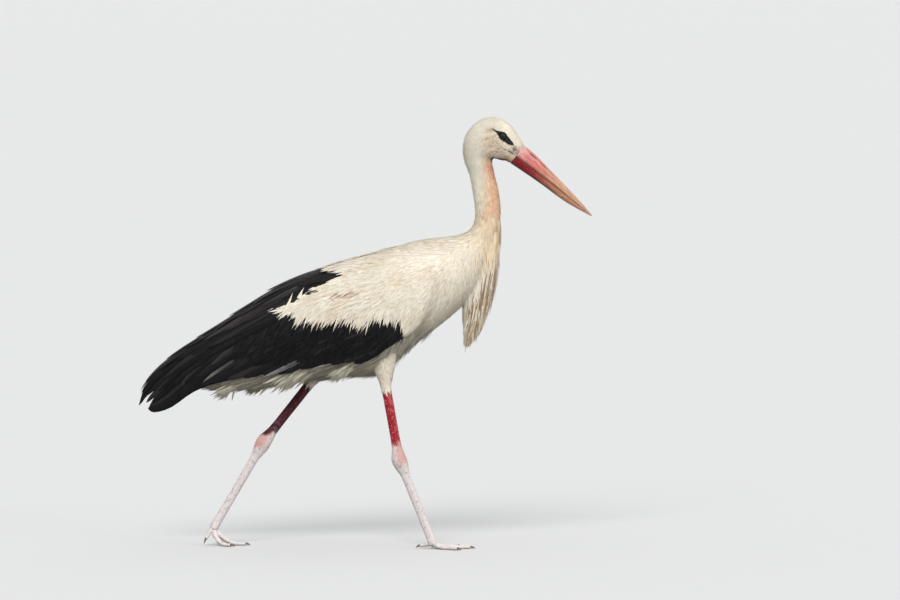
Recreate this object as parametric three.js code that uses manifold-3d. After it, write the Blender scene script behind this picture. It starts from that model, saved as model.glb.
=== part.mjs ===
// A white stork in mid stride, life size, as a still museum model.
// Millimetres. +X is ahead, +Y is the bird's left and +Z is up. The floor is z = 0,
// and the origin lies on it under the middle of the whole bird.
// Each body part is a closed solid of its own, out to the tips of its feathers, and
// neighbours that touch keep a gap of 0.3 mm.

import * as THREE from 'three';
import { mergeVertices } from 'three/addons/utils/BufferGeometryUtils.js';
import Module from 'manifold-3d';

const wasm = await Module();
wasm.setup();

// ---- driving dimensions -------------------------------------------------------------

const GAP = 0.3;                    // between two pieces that touch
const RIM_POINTS = 24;              // points round one rib of the body
const LIMB_RIM_POINTS = 12;         // points round a leg
const TOE_RIM_POINTS = 8;           // points round a toe
const STEPS_PER_RIB = 2;            // rings from one named rib to the next
const WALL_REACH = 130;             // how far a dividing wall runs to each side

const BILL_LENGTH = 176;            // forehead to tip, along the middle of the bill
const BILL_BASE = [296.5, 743.5];   // middle of the bill's root, as x and z
const BILL_TILT = 39.5;             // degrees below level
const BILL_HALF_WIDTH = 12.5;       // at the root
const BILL_TIP_HALF_WIDTH = 1.1;
const BILL_ROOT_HALF_DEPTH = 21.2;
const BILL_ROOT_INSET = 7;          // how far the bill starts behind its nominal base

const EYE_RADIUS = 8.2;
const EYE_CENTRE = [263.5, 783.5];  // x and z
const EYE_INSET = 7.4;              // how far its middle lies inside the side of the head

const WING_TIP_X = -433;            // rearmost point of the folded wings
const WING_MIDLINE = 0.8;           // half the space between the two wings on the back

const LEG_SPREAD = 38;              // side offset of each foot from the middle plane
const MIDDLE_TOE = 80;              // joint to tip of claw
const SIDE_TOE = 67;
const HIND_TOE = 31;
const PALM_REACH = 25;              // how far the joined toe roots and webs run out
const HIND_ROOT = 13;               // the part of the hind toe that is one with the palm
const WEB_REACH = 18;               // how far the web runs out between the front toes
const WEB_HALF_THICKNESS = 1.1;
const PAD_HEIGHT = 3.1;             // middle line of a toe's last bone over the floor
const CLAW_LENGTH = 9;
const STEEPEST_SCALE = 1.6;         // the most that a toe's pitches may be scaled by

const WHITE_PLUMAGE = 0xe9dfcb;
const NECK_PLUMAGE = 0xe2cdb0;
const BLACK_PLUMAGE = 0x1b1b1e;
const BILL_RED = 0xd9706a;
const LEG_RED = 0xbc2c3a;
const LEG_CHALK = 0xe6dcdf;
const EYE_BLACK = 0x0b0a0a;
const CLAW_GREY = 0x4a3c39;

const radians = THREE.MathUtils.degToRad;
const stork = new THREE.Group();

// ---- helpers for closed solids ------------------------------------------------------

// Smooth value at station number s of a row of numbers: a uniform Catmull-Rom curve.
function along(values, s) {
  const i = Math.min(Math.floor(s), values.length - 2);
  const t = s - i;
  const at = (k) => values[Math.max(0, Math.min(values.length - 1, k))];
  const rise = (at(i + 1) - at(i - 1)) / 2;
  const nextRise = (at(i + 2) - at(i)) / 2;
  const step = at(i + 1) - at(i);
  return at(i) + t * (rise + t * (3 * step - 2 * rise - nextRise + t * (rise + nextRise - 2 * step)));
}

// The same for a row of objects: each named number is carried along by itself.
function station(rows, s) {
  const out = {};
  for (const key of Object.keys(rows[0])) {
    out[key] = along(rows.map((row) => row[key]), s);
  }
  return out;
}

function middleOf(ring) {
  return ring.reduce((sum, p) => sum.add(p), new THREE.Vector3()).divideScalar(ring.length);
}

// A closed solid over a row of rings with the same number of points, with flat ends.
function overRings(rings) {
  const count = rings[0].length;
  const points = rings.flat();
  const index = [];
  for (let r = 0; r < rings.length - 1; r++) {
    for (let i = 0; i < count; i++) {
      const a = r * count + i;
      const b = r * count + ((i + 1) % count);
      index.push(a, b, b + count, a, b + count, a + count);
    }
  }
  const lastRing = points.length - count;
  for (const [ring, first, turned] of [[rings[0], 0, false], [rings.at(-1), lastRing, true]]) {
    const middle = points.length;
    points.push(middleOf(ring));
    for (let i = 0; i < count; i++) {
      const a = first + i;
      const b = first + ((i + 1) % count);
      index.push(...(turned ? [middle, a, b] : [middle, b, a]));
    }
  }
  if (enclosedVolume(points, index) < 0) index.reverse();
  const geometry = new THREE.BufferGeometry().setFromPoints(points);
  geometry.setIndex(index);
  return geometry;
}

// Sum of the signed tetrahedra between the origin and each face.
function enclosedVolume(points, index) {
  let sum = 0;
  for (let i = 0; i < index.length; i += 3) {
    const [a, b, c] = [points[index[i]], points[index[i + 1]], points[index[i + 2]]];
    sum += a.dot(b.clone().cross(c)) / 6;
  }
  return sum;
}

// Geometry to solid and back, for cuts and joins.
function solid(geometry) {
  const bare = geometry.clone();
  bare.deleteAttribute('normal');
  bare.deleteAttribute('uv');
  const merged = mergeVertices(bare, 1e-4);
  return new wasm.Manifold(new wasm.Mesh({
    numProp: 3,
    vertProperties: new Float32Array(merged.attributes.position.array),
    triVerts: new Uint32Array(merged.index.array),
  }));
}

function geometryOf(manifold) {
  const mesh = manifold.getMesh();
  const geometry = new THREE.BufferGeometry();
  geometry.setAttribute('position', new THREE.BufferAttribute(mesh.vertProperties, 3));
  geometry.setIndex(new THREE.BufferAttribute(mesh.triVerts, 1));
  return geometry;
}

// The largest piece of a solid that a cut has left in parts: slivers are dropped.
function mainPiece(manifold) {
  return manifold.decompose().reduce((best, piece) => (piece.volume() > best.volume() ? piece : best));
}

// A thin wall that stands on a line in the side view and runs right across the bird.
// At each bend its two faces meet in a mitre.
function dividingWall(line) {
  const middle = line.map(([x, z]) => new THREE.Vector3(x, 0, z));
  const normals = middle.slice(1).map((p, i) => {
    const run = p.clone().sub(middle[i]).normalize();
    return new THREE.Vector3(-run.z, 0, run.x);
  });
  const across = new THREE.Vector3(0, WALL_REACH, 0);
  return solid(overRings(middle.map((p, i) => {
    const before = normals[Math.max(0, i - 1)];
    const after = normals[Math.min(normals.length - 1, i)];
    const mitre = before.clone().add(after).multiplyScalar(GAP / 2 / (1 + before.dot(after)));
    const [high, low] = [p.clone().add(mitre), p.clone().sub(mitre)];
    return [
      high.clone().add(across), high.clone().sub(across), low.clone().sub(across), low.clone().add(across),
    ];
  })));
}

function addPart(name, geometry, color, roughness = 0.8) {
  const material = new THREE.MeshStandardMaterial({ color, roughness, metalness: 0 });
  const mesh = new THREE.Mesh(geometry, material);
  mesh.name = name;
  stork.add(mesh);
}

// A ring across the middle plane between an upper and a lower point of the side view.
// It is widest at a share of the way down, and fullness 2 makes it an ellipse.
function rib({ upX, upZ, lowX, lowZ, half, widest, fullness }, grow = 0, count = RIM_POINTS) {
  const upper = new THREE.Vector3(upX, 0, upZ);
  const lower = new THREE.Vector3(lowX, 0, lowZ);
  const down = lower.clone().sub(upper);
  const depth = down.length();
  down.normalize();
  const middle = upper.clone().addScaledVector(down, depth * widest);
  return Array.from({ length: count }, (_, i) => {
    const angle = (2 * Math.PI * i) / count;
    const c = Math.sign(Math.cos(angle)) * Math.abs(Math.cos(angle)) ** (2 / fullness);
    const s = Math.sign(Math.sin(angle)) * Math.abs(Math.sin(angle)) ** (2 / fullness);
    const reach = (c > 0 ? depth * widest : depth * (1 - widest)) + grow;
    return middle.clone().addScaledVector(down, -c * reach).setY(s * (half + grow));
  });
}

// ---- head, neck and trunk: one long form carried over ribs from tail to bill ---------

// A point of the bill's side view, from its reach along the middle line and height over it.
function billPoint(reach, height) {
  const tilt = radians(BILL_TILT);
  return new THREE.Vector3(
    BILL_BASE[0] + reach * Math.cos(tilt) + height * Math.sin(tilt), 0,
    BILL_BASE[1] - reach * Math.sin(tilt) + height * Math.cos(tilt),
  );
}
const foreheadEdge = billPoint(-BILL_ROOT_INSET, BILL_ROOT_HALF_DEPTH);
const chinEdge = billPoint(-BILL_ROOT_INSET, -BILL_ROOT_HALF_DEPTH);

const RIBS = {
  undertailTip: { upX: -336, upZ: 341, lowX: -323, lowZ: 307, half: 13, widest: 0.5, fullness: 2 },
  undertail: { upX: -284, upZ: 384, lowX: -272, lowZ: 299, half: 31, widest: 0.56, fullness: 2 },
  rump: { upX: -207, upZ: 438, lowX: -197, lowZ: 303, half: 51, widest: 0.58, fullness: 2 },
  flank: { upX: -128, upZ: 483, lowX: -120, lowZ: 317, half: 68, widest: 0.6, fullness: 2 },
  belly: { upX: -50, upZ: 522, lowX: -30, lowZ: 324, half: 76, widest: 0.6, fullness: 2 },
  keel: { upX: 12, upZ: 550, lowX: 38, lowZ: 333, half: 79, widest: 0.58, fullness: 2 },
  shoulder: { upX: 62, upZ: 573, lowX: 85, lowZ: 377, half: 78, widest: 0.54, fullness: 2 },
  crop: { upX: 108, upZ: 586, lowX: 130, lowZ: 412, half: 74, widest: 0.5, fullness: 2.1 },
  breast: { upX: 150, upZ: 591, lowX: 176, lowZ: 450, half: 63, widest: 0.5, fullness: 2.1 },
  breastFront: { upX: 181, upZ: 595.5, lowX: 216, lowZ: 492, half: 47, widest: 0.5, fullness: 2 },
  neckRoot: { upX: 199, upZ: 603, lowX: 241, lowZ: 547, half: 34, widest: 0.5, fullness: 2 },
  neckBase: { upX: 209, upZ: 618, lowX: 256, lowZ: 600, half: 27, widest: 0.5, fullness: 2 },
  neckLow: { upX: 210.5, upZ: 644, lowX: 260, lowZ: 640, half: 23.5, widest: 0.5, fullness: 2 },
  neckMiddle: { upX: 206, upZ: 676, lowX: 256.5, lowZ: 677, half: 22, widest: 0.5, fullness: 2 },
  neckHigh: { upX: 199, upZ: 712, lowX: 248, lowZ: 713, half: 21.5, widest: 0.5, fullness: 2 },
  throat: { upX: 190, upZ: 735, lowX: 243.5, lowZ: 736, half: 23, widest: 0.48, fullness: 2 },
  nape: { upX: 187, upZ: 760, lowX: 249, lowZ: 740, half: 25, widest: 0.46, fullness: 2.05 },
  backOfHead: { upX: 194, upZ: 788, lowX: 257, lowZ: 737.5, half: 26.5, widest: 0.46, fullness: 2.1 },
  crown: { upX: 218, upZ: 813, lowX: 264, lowZ: 736, half: 27, widest: 0.48, fullness: 2.1 },
  brow: { upX: 249, upZ: 820, lowX: 269, lowZ: 735.5, half: 26, widest: 0.5, fullness: 2.05 },
  forehead: { upX: 277, upZ: 806, lowX: 274, lowZ: 733, half: 22.5, widest: 0.54, fullness: 2 },
  face: { upX: 293.5, upZ: 783, lowX: 277.5, lowZ: 731.5, half: 17.5, widest: 0.56, fullness: 2 },
  billRoot: {
    upX: foreheadEdge.x, upZ: foreheadEdge.z, lowX: chinEdge.x, lowZ: chinEdge.z,
    half: BILL_HALF_WIDTH + 1, widest: 0.55, fullness: 2,
  },
};
const RIB_NAMES = Object.keys(RIBS);
const ribAt = (name) => RIB_NAMES.indexOf(name);

// The form between two named ribs. Half a gap is left off each end that meets a neighbour.
function bodyLength(from, to, grow = 0) {
  const rows = Object.values(RIBS);
  const [start, end] = [ribAt(from), ribAt(to)];
  const rings = Array.from({ length: (end - start) * STEPS_PER_RIB + 1 }, (_, i) => (
    rib(station(rows, start + i / STEPS_PER_RIB), grow)));
  for (const [near, next] of [[rings[0], rings[1]], [rings.at(-1), rings.at(-2)]]) {
    const inward = middleOf(next).sub(middleOf(near)).normalize().multiplyScalar(grow ? 0 : GAP / 2);
    near.forEach((p) => p.add(inward));
  }
  return overRings(rings);
}

// The trunk and neck again, one gap larger all round: what lies on them is cut by this.
const bodyClearance = solid(bodyLength('undertailTip', 'neckMiddle', GAP));

addPart('undertail', bodyLength('undertailTip', 'rump'), WHITE_PLUMAGE);
addPart('trunk', bodyLength('rump', 'shoulder'), WHITE_PLUMAGE);
addPart('breast', bodyLength('shoulder', 'neckBase'), WHITE_PLUMAGE);
addPart('neck_lower', bodyLength('neckBase', 'neckMiddle'), NECK_PLUMAGE);
addPart('neck_upper', bodyLength('neckMiddle', 'throat'), NECK_PLUMAGE);

// ---- eyes and head ------------------------------------------------------------------

const head = solid(bodyLength('throat', 'billRoot'));
const headHalfWidth = along(Object.values(RIBS).map((row) => row.half), ribAt('brow'));
const eyeOffset = headHalfWidth - EYE_INSET;

function eyeball(side, radius) {
  const ball = new THREE.SphereGeometry(radius, 12, 8);
  ball.translate(EYE_CENTRE[0], side * eyeOffset, EYE_CENTRE[1]);
  return ball;
}

let socketed = head;
for (const [name, side] of [['eye_left', 1], ['eye_right', -1]]) {
  socketed = socketed.subtract(solid(eyeball(side, EYE_RADIUS + GAP)));
  addPart(name, eyeball(side, EYE_RADIUS), EYE_BLACK, 0.1);
}
addPart('head', geometryOf(mainPiece(socketed)), WHITE_PLUMAGE);

// ---- bill: two mandibles that meet along a nearly straight edge -----------------------

// Heights over the bill's middle line, at equal steps from root to tip: the ridge, the edge
// where the mandibles meet, and the keel of the lower one.
const CULMEN = [BILL_ROOT_HALF_DEPTH, 21, 18.4, 15.3, 12.4, 9.3, 5.6, 0.9];
const CUTTING_EDGE = [-4.2, -3.2, -2, -1, -0.5, -0.3, -0.2, -0.1];
const GONYS = [-BILL_ROOT_HALF_DEPTH, -18.6, -16.2, -14.1, -13.2, -11, -6.4, -1.1];
const BILL_RINGS = 10;
const MANDIBLE_POINTS = 10;

// One mandible: half-round rings between the cutting edge and the ridge or the keel.
function mandible(ridge, edgeShift) {
  const rings = Array.from({ length: BILL_RINGS + 1 }, (_, k) => {
    const t = k / BILL_RINGS;
    const s = t * (CULMEN.length - 1);
    const edge = along(CUTTING_EDGE, s) + edgeShift;
    const crest = along(ridge, s);
    const half = BILL_HALF_WIDTH * (1 - t) ** 0.8 + BILL_TIP_HALF_WIDTH * t;
    const reach = THREE.MathUtils.lerp(-BILL_ROOT_INSET + GAP / 2, BILL_LENGTH, t);
    return Array.from({ length: MANDIBLE_POINTS }, (__, i) => {
      const angle = (Math.PI * i) / (MANDIBLE_POINTS - 1);
      const across = Math.cos(angle) * half;
      const up = edge + (crest - edge) * Math.sin(angle) ** 0.75;
      return billPoint(reach, up).setY(across);
    });
  });
  return overRings(rings);
}

addPart('bill_upper', mandible(CULMEN, GAP / 2), BILL_RED, 0.45);
addPart('bill_lower', mandible(GONYS, -GAP / 2), BILL_RED, 0.45);

// ---- plumes: the long loose feathers that hang from the lower neck --------------------

const PLUME_RIBS = {
  root: { upX: 236, upZ: 606, lowX: 263, lowZ: 604, half: 19, widest: 0.55, fullness: 2 },
  upper: { upX: 214, upZ: 556, lowX: 258.5, lowZ: 556, half: 27, widest: 0.5, fullness: 2 },
  middle: { upX: 196, upZ: 502, lowX: 253.5, lowZ: 503, half: 28, widest: 0.5, fullness: 2 },
  lower: { upX: 187, upZ: 455, lowX: 239, lowZ: 455, half: 24, widest: 0.5, fullness: 2 },
  fringe: { upX: 189.5, upZ: 412, lowX: 222, lowZ: 412, half: 16, widest: 0.5, fullness: 2 },
  tip: { upX: 191.5, upZ: 382, lowX: 196, lowZ: 381, half: 3, widest: 0.5, fullness: 2 },
};
const PLUME_STEPS = 12;
const PLUME_RIM_POINTS = 16;
const plumeRows = Object.values(PLUME_RIBS);
const plumeRings = Array.from({ length: PLUME_STEPS + 1 }, (_, i) => (
  rib(station(plumeRows, (i / PLUME_STEPS) * (plumeRows.length - 1)), 0, PLUME_RIM_POINTS)));
addPart('plumes', geometryOf(mainPiece(solid(overRings(plumeRings)).subtract(bodyClearance))), NECK_PLUMAGE);

// ---- wings: folded on the sides and over the back -------------------------------------

// Cross-sections from the wrist to the tip. The upper edge lies by the middle of the back
// (inner), the lower one on the flank (edge), and the wing stands out to bulge between.
const WING_RIBS = [
  { upX: 139, upZ: 532, lowX: 135, lowZ: 480, inner: 64, edge: 66, bulge: 69, thick: 12 },
  { upX: 118, upZ: 560, lowX: 106, lowZ: 424, inner: 48, edge: 76, bulge: 88, thick: 26 },
  { upX: 68, upZ: 574, lowX: 68, lowZ: 388, inner: 28, edge: 80, bulge: 94, thick: 34 },
  { upX: 10, upZ: 561, lowX: 12, lowZ: 357, inner: 12, edge: 79, bulge: 95, thick: 34 },
  { upX: -50, upZ: 545, lowX: -50, lowZ: 354, inner: 5, edge: 76, bulge: 92, thick: 32 },
  { upX: -110, upZ: 525, lowX: -112, lowZ: 343, inner: 3, edge: 71, bulge: 86, thick: 30 },
  { upX: -170, upZ: 494.5, lowX: -172, lowZ: 331, inner: 2, edge: 64, bulge: 78, thick: 25 },
  { upX: -232, upZ: 454, lowX: -232, lowZ: 325, inner: 1.5, edge: 55, bulge: 67, thick: 14 },
  { upX: -292, upZ: 414, lowX: -286, lowZ: 318, inner: 1.2, edge: 46, bulge: 56, thick: 9 },
  { upX: -342, upZ: 382, lowX: -331, lowZ: 300, inner: 1, edge: 37, bulge: 45, thick: 7 },
  { upX: -388, upZ: 346, lowX: -368, lowZ: 272, inner: 0.9, edge: 27, bulge: 33, thick: 5.5 },
  { upX: -417, upZ: 310, lowX: -400, lowZ: 261, inner: WING_MIDLINE, edge: 17, bulge: 21, thick: 4 },
  { upX: WING_TIP_X, upZ: 272, lowX: -414, lowZ: 264, inner: WING_MIDLINE, edge: 9, bulge: 10, thick: 2.5 },
];

// One cross-section: out over the back and down the side, then back up the inner face.
function wingRing(row, side) {
  const { upX, upZ, lowX, lowZ, inner, edge, bulge, thick } = row;
  const fall = upZ - lowZ;
  const face = (drop, shrink) => new THREE.CubicBezierCurve(
    new THREE.Vector2(inner, upZ - drop),
    new THREE.Vector2(inner + (bulge - inner) * 0.92 - shrink, upZ - drop * 0.9 - 0.02 * fall),
    new THREE.Vector2(bulge * 1.12 - shrink, upZ - 0.55 * fall),
    new THREE.Vector2(edge - shrink * 0.3, lowZ),
  ).getPoints(7);
  const outline = [...face(0, 0), ...face(thick, thick).reverse()];
  return outline.map((p) => {
    const x = THREE.MathUtils.lerp(upX, lowX, (upZ - p.y) / fall);
    return new THREE.Vector3(x, side * p.x, p.y);
  });
}

// The line where the white coverts end on the black feathers, from the flank to the back.
const COVERT_EDGE = [
  [92, 384], [74, 412], [60, 421], [-30, 418], [-118, 420], [-158, 434], [-181, 450],
  [-140, 461], [-104, 488], [-66, 508], [-38, 523], [-88, 532], [-104, 560],
];
// The line between the shoulder feathers above and the wing feathers below, and the line
// behind which only the long outer feathers show.
const SHOULDER_EDGE = [[-179, 450], [-235, 412], [-300, 372], [-352, 330], [-440, 262]];
const OUTER_EDGE = [[-266, 394], [-290, 350], [-304, 296]];
const WING_PARTS = [
  ['coverts', WHITE_PLUMAGE], ['secondaries', BLACK_PLUMAGE],
  ['scapulars', BLACK_PLUMAGE], ['primaries', BLACK_PLUMAGE],
];

for (const [sideName, side] of [['left', 1], ['right', -1]]) {
  const rings = WING_RIBS.map((row) => wingRing(row, side));
  let wing = solid(overRings(rings)).subtract(bodyClearance);
  for (const line of [COVERT_EDGE, SHOULDER_EDGE, OUTER_EDGE]) wing = wing.subtract(dividingWall(line));
  const frontEdge = (piece) => piece.boundingBox().max[0];
  const pieces = wing.decompose().sort((a, b) => b.volume() - a.volume()).slice(0, WING_PARTS.length);
  pieces.sort((a, b) => frontEdge(b) - frontEdge(a));
  pieces.forEach((piece, i) => {
    const [name, color] = WING_PARTS[i];
    addPart(`wing_${sideName}_${name}`, geometryOf(piece), color, 0.65);
  });
}

// ---- tail: a narrow fan of white feathers under the wing tips -------------------------

const TAIL_ROOT = new THREE.Vector3(-215, 0, 392);
const TAIL_TIP = new THREE.Vector3(-352, 0, 316);
const TAIL_STEPS = 7;
const TAIL_RIM_POINTS = 14;
const tailRings = Array.from({ length: TAIL_STEPS + 1 }, (_, i) => {
  const t = i / TAIL_STEPS;
  const centre = TAIL_ROOT.clone().lerp(TAIL_TIP, t);
  const half = THREE.MathUtils.lerp(27, 31, t) * (1 - 0.3 * t ** 6);
  const thick = THREE.MathUtils.lerp(6, 2, t);
  return Array.from({ length: TAIL_RIM_POINTS }, (__, k) => {
    const angle = (2 * Math.PI * k) / TAIL_RIM_POINTS;
    return centre.clone().add(new THREE.Vector3(0, half * Math.cos(angle), thick * Math.sin(angle)));
  });
});
addPart('tail', geometryOf(mainPiece(solid(overRings(tailRings)).subtract(bodyClearance))), WHITE_PLUMAGE);

// ---- legs -----------------------------------------------------------------------------

// Rings across a path in the plane of one leg. Each row is a place on the path with the
// half depth fore and aft and the half width.
function limbRings(rows, y) {
  const middle = rows.map((row) => new THREE.Vector3(row.x, y, row.z));
  return rows.map((row, i) => {
    const before = middle[Math.max(0, i - 1)];
    const after = middle[Math.min(rows.length - 1, i + 1)];
    const direction = after.clone().sub(before).normalize();
    const forward = new THREE.Vector3(-direction.z, 0, direction.x).normalize();
    return Array.from({ length: LIMB_RIM_POINTS }, (_, k) => {
      const angle = (2 * Math.PI * k) / LIMB_RIM_POINTS;
      return middle[i].clone()
        .addScaledVector(forward, row.depth * Math.cos(angle))
        .add(new THREE.Vector3(0, row.width * Math.sin(angle), 0));
    });
  });
}

function limb(rows, y, steps) {
  const finer = Array.from({ length: steps + 1 }, (_, i) => station(rows, (i * (rows.length - 1)) / steps));
  return overRings(limbRings(finer, y));
}

// Joints in the side view, from the species' bone lengths: about 180 mm from hock to toes.
// The right leg is ahead and flat on its foot, and the left one pushes off with its heel
// up. Pitches are how far each toe bone in turn points down, and splay is how far a side
// toe stands off the middle one. hindPitch is the hind toe's own. All are in degrees.
const LEGS = {
  right: {
    side: -1, feather: [42, 309], hock: [66.5, 171], toe: [131.5, 9],
    thighTop: { x: 36, z: 372, depth: 30, width: 24 }, pitches: [14, 4, 0, 0], splay: 36,
    hindPitch: 12,
  },
  left: {
    side: 1, feather: [-101, 313], hock: [-190.5, 200], toe: [-288, 33],
    thighTop: { x: -50, z: 372, depth: 30, width: 24 }, pitches: [62, 44, 18, 0], splay: 30,
    hindPitch: 62,
  },
};

for (const [name, leg] of Object.entries(LEGS)) {
  const y = leg.side * LEG_SPREAD;
  const between = (a, b, t) => [THREE.MathUtils.lerp(a[0], b[0], t), THREE.MathUtils.lerp(a[1], b[1], t)];
  const at = (point, depth, width) => ({ x: point[0], z: point[1], depth, width });

  // Feathered thigh: a cuff that narrows to the bare shin and leaves 0.3 mm to it.
  const cuff = leg.feather;
  const thighRows = [
    leg.thighTop,
    at(between([leg.thighTop.x, leg.thighTop.z], cuff, 0.55), 22, 19),
    at(between([leg.thighTop.x, leg.thighTop.z], cuff, 0.85), 14.5, 14),
    at(cuff, 10.5, 9.5),
  ];
  const thigh = solid(limb(thighRows, y, 6)).subtract(bodyClearance);
  addPart(`thigh_${name}`, geometryOf(mainPiece(thigh)), WHITE_PLUMAGE);

  // Bare shin down to the hock.
  const shin = (t) => between(cuff, leg.hock, t);
  const shinRows = [
    at(shin(0.007), 9.4, 7.6), at(shin(0.3), 9, 7.2), at(shin(0.6), 8.8, 7.2), at(shin(0.83), 9.6, 8),
  ];
  addPart(`tibia_${name}`, limb(shinRows, y, 5), LEG_RED, 0.6);

  // Hock: the knobbly joint, deepest just below its middle.
  const shank = (t) => between(leg.hock, leg.toe, t);
  const hockRows = [
    at(shin(0.833), 9.7, 8.1), at(shin(0.92), 12.2, 9.8), at(leg.hock, 14.4, 11.2),
    at(shank(0.06), 14, 10.8), at(shank(0.13), 11, 8.6), at(shank(0.19), 8.6, 6.8),
  ];
  addPart(`hock_${name}`, limb(hockRows, y, 8), LEG_CHALK, 0.6);

  // Shank down to the palm of the foot.
  const shankRows = [
    at(shank(0.192), 8.5, 6.7), at(shank(0.45), 8, 6.2), at(shank(0.75), 7.9, 6.2),
    at(shank(0.925), 8.2, 7.2),
  ];
  addPart(`tarsus_${name}`, limb(shankRows, y, 6), LEG_CHALK, 0.6);

  addFoot(name, leg, y, shank(0.927));
}

// ---- feet -----------------------------------------------------------------------------

// The path of one toe from the joint to the root of its claw. The toes spread in the plane
// of the foot. Each bone turns down by the leg's pitch, scaled so that the last one lies
// on the floor.
function toePath(leg, y, heading, length) {
  const shares = [0.34, 0.26, 0.22, 0.18];
  const drop = leg.toe[1] - PAD_HEIGHT;
  const bone = (share, pitch) => new THREE.Vector3(
    share * length * Math.cos(radians(heading)) * Math.cos(radians(pitch)),
    share * length * Math.sin(radians(heading)),
    -share * length * Math.cos(radians(heading)) * Math.sin(radians(pitch)),
  );
  const fall = (scale) => -shares.reduce((sum, share, i) => sum + bone(share, leg.pitches[i] * scale).z, 0);
  let [low, high] = [0, STEEPEST_SCALE];
  for (let i = 0; i < 30; i++) {
    const middle = (low + high) / 2;
    if (fall(middle) < drop) low = middle;
    else high = middle;
  }
  const path = [new THREE.Vector3(leg.toe[0], y, leg.toe[1])];
  shares.forEach((share, i) => path.push(path.at(-1).clone().add(bone(share, leg.pitches[i] * low))));
  return path;
}

// Rings along part of a toe, from one distance to another, with a side of each ring turned
// down. Pads swell at each joint and are pressed flat where they meet the floor.
function toeRings(path, from, to, steps, girth) {
  const curve = new THREE.CatmullRomCurve3(path, false, 'centripetal');
  const length = curve.getLength();
  return Array.from({ length: steps + 1 }, (_, i) => {
    const u = THREE.MathUtils.lerp(from, to, i / steps) / length;
    const centre = curve.getPointAt(Math.min(u, 1));
    const ahead = curve.getTangentAt(Math.min(u, 1));
    const aside = new THREE.Vector3(-ahead.y, ahead.x, 0).normalize();
    const up = new THREE.Vector3().crossVectors(ahead, aside);
    const size = girth(u);
    return Array.from({ length: TOE_RIM_POINTS }, (__, k) => {
      const angle = (2 * Math.PI * (k + 0.5)) / TOE_RIM_POINTS;
      const p = centre.clone()
        .addScaledVector(aside, size * Math.cos(angle))
        .addScaledVector(up, size * 0.92 * Math.sin(angle));
      p.z = Math.max(p.z, 0);
      return p;
    });
  });
}

function addFoot(name, leg, y, ankle) {
  const outward = leg.side;
  const toes = [
    { label: 'inner', heading: -outward * leg.splay, length: SIDE_TOE },
    { label: 'middle', heading: 0, length: MIDDLE_TOE },
    { label: 'outer', heading: outward * leg.splay, length: SIDE_TOE },
  ];
  const girth = (u) => (6.1 - 2.5 * u) * (1 + 0.07 * Math.cos(u * 8 * Math.PI));
  let palm = solid(overRings(limbRings([
    { x: ankle[0], z: ankle[1], depth: 7.7, width: 7.1 },
    { x: (ankle[0] + leg.toe[0]) / 2, z: (ankle[1] + leg.toe[1]) / 2, depth: 9.6, width: 10.2 },
    { x: leg.toe[0], z: leg.toe[1], depth: 9, width: 10.6 },
    { x: leg.toe[0] + 2, z: leg.toe[1] - 5.4, depth: 6.5, width: 8 },
  ], y)));
  const paths = toes.map((toe) => toePath(leg, y, toe.heading, toe.length - CLAW_LENGTH));
  toes.forEach((toe, i) => {
    const end = toe.length - CLAW_LENGTH;
    palm = palm.add(solid(overRings(toeRings(paths[i], 0, PALM_REACH - GAP, 4, girth))));
    const rings = toeRings(paths[i], PALM_REACH, end, 6, girth);
    addPart(`toe_${name}_${toe.label}`, overRings(rings), LEG_CHALK, 0.6);
    addClaw(`claw_${name}_${toe.label}`, paths[i]);
  });
  for (const [a, b] of [[0, 1], [1, 2]]) palm = palm.add(web(paths[a], paths[b]));

  const hindRoot = new THREE.Vector3(leg.toe[0] - 3, y - outward * 3, leg.toe[1] + 1);
  const hindBone = HIND_TOE - CLAW_LENGTH;
  const hindEnd = hindRoot.clone().add(new THREE.Vector3(
    -hindBone * Math.cos(radians(leg.hindPitch)), -outward * 5, -hindBone * Math.sin(radians(leg.hindPitch)),
  ));
  hindEnd.z = Math.max(hindEnd.z, PAD_HEIGHT);
  const hindPath = [hindRoot, hindRoot.clone().lerp(hindEnd, 0.5), hindEnd];
  const hindGirth = (u) => 4.7 - 1.4 * u;
  palm = palm.add(solid(overRings(toeRings(hindPath, 0, HIND_ROOT, 3, hindGirth))));
  addPart(`palm_${name}`, geometryOf(mainPiece(palm)), LEG_CHALK, 0.6);
  const hindRings = toeRings(hindPath, HIND_ROOT + GAP, hindRoot.distanceTo(hindEnd), 3, hindGirth);
  addPart(`toe_${name}_hind`, overRings(hindRings), LEG_CHALK, 0.6);
  addClaw(`claw_${name}_hind`, hindPath);
}

// The short web between the roots of two toes, a bent plate from one toe to the other.
function web(pathA, pathB) {
  const curves = [pathA, pathB].map((path) => new THREE.CatmullRomCurve3(path, false, 'centripetal'));
  const thick = new THREE.Vector3(0, 0, WEB_HALF_THICKNESS);
  return solid(overRings([0, WEB_REACH / 2, WEB_REACH].map((distance) => {
    const [a, b] = curves.map((curve) => curve.getPointAt(distance / curve.getLength()));
    return [a.clone().add(thick), b.clone().add(thick), b.clone().sub(thick), a.clone().sub(thick)];
  })));
}

// A short blunt claw that carries on from a toe and bends to the floor.
function addClaw(name, path) {
  const end = path.at(-1);
  const ahead = end.clone().sub(path.at(-2)).normalize();
  const root = end.clone().addScaledVector(ahead, GAP);
  const tip = root.clone().addScaledVector(ahead, CLAW_LENGTH);
  tip.z = Math.max(tip.z - 2, 0.9);
  const middle = root.clone().lerp(tip, 0.5).add(new THREE.Vector3(0, 0, 0.7));
  const girth = (u) => 2.7 * (1 - u) ** 0.7 + 0.6;
  const rings = toeRings([root, middle, tip], 0, root.distanceTo(tip), 3, girth);
  addPart(name, overRings(rings), CLAW_GREY, 0.4);
}

export default stork;
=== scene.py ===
import math

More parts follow.
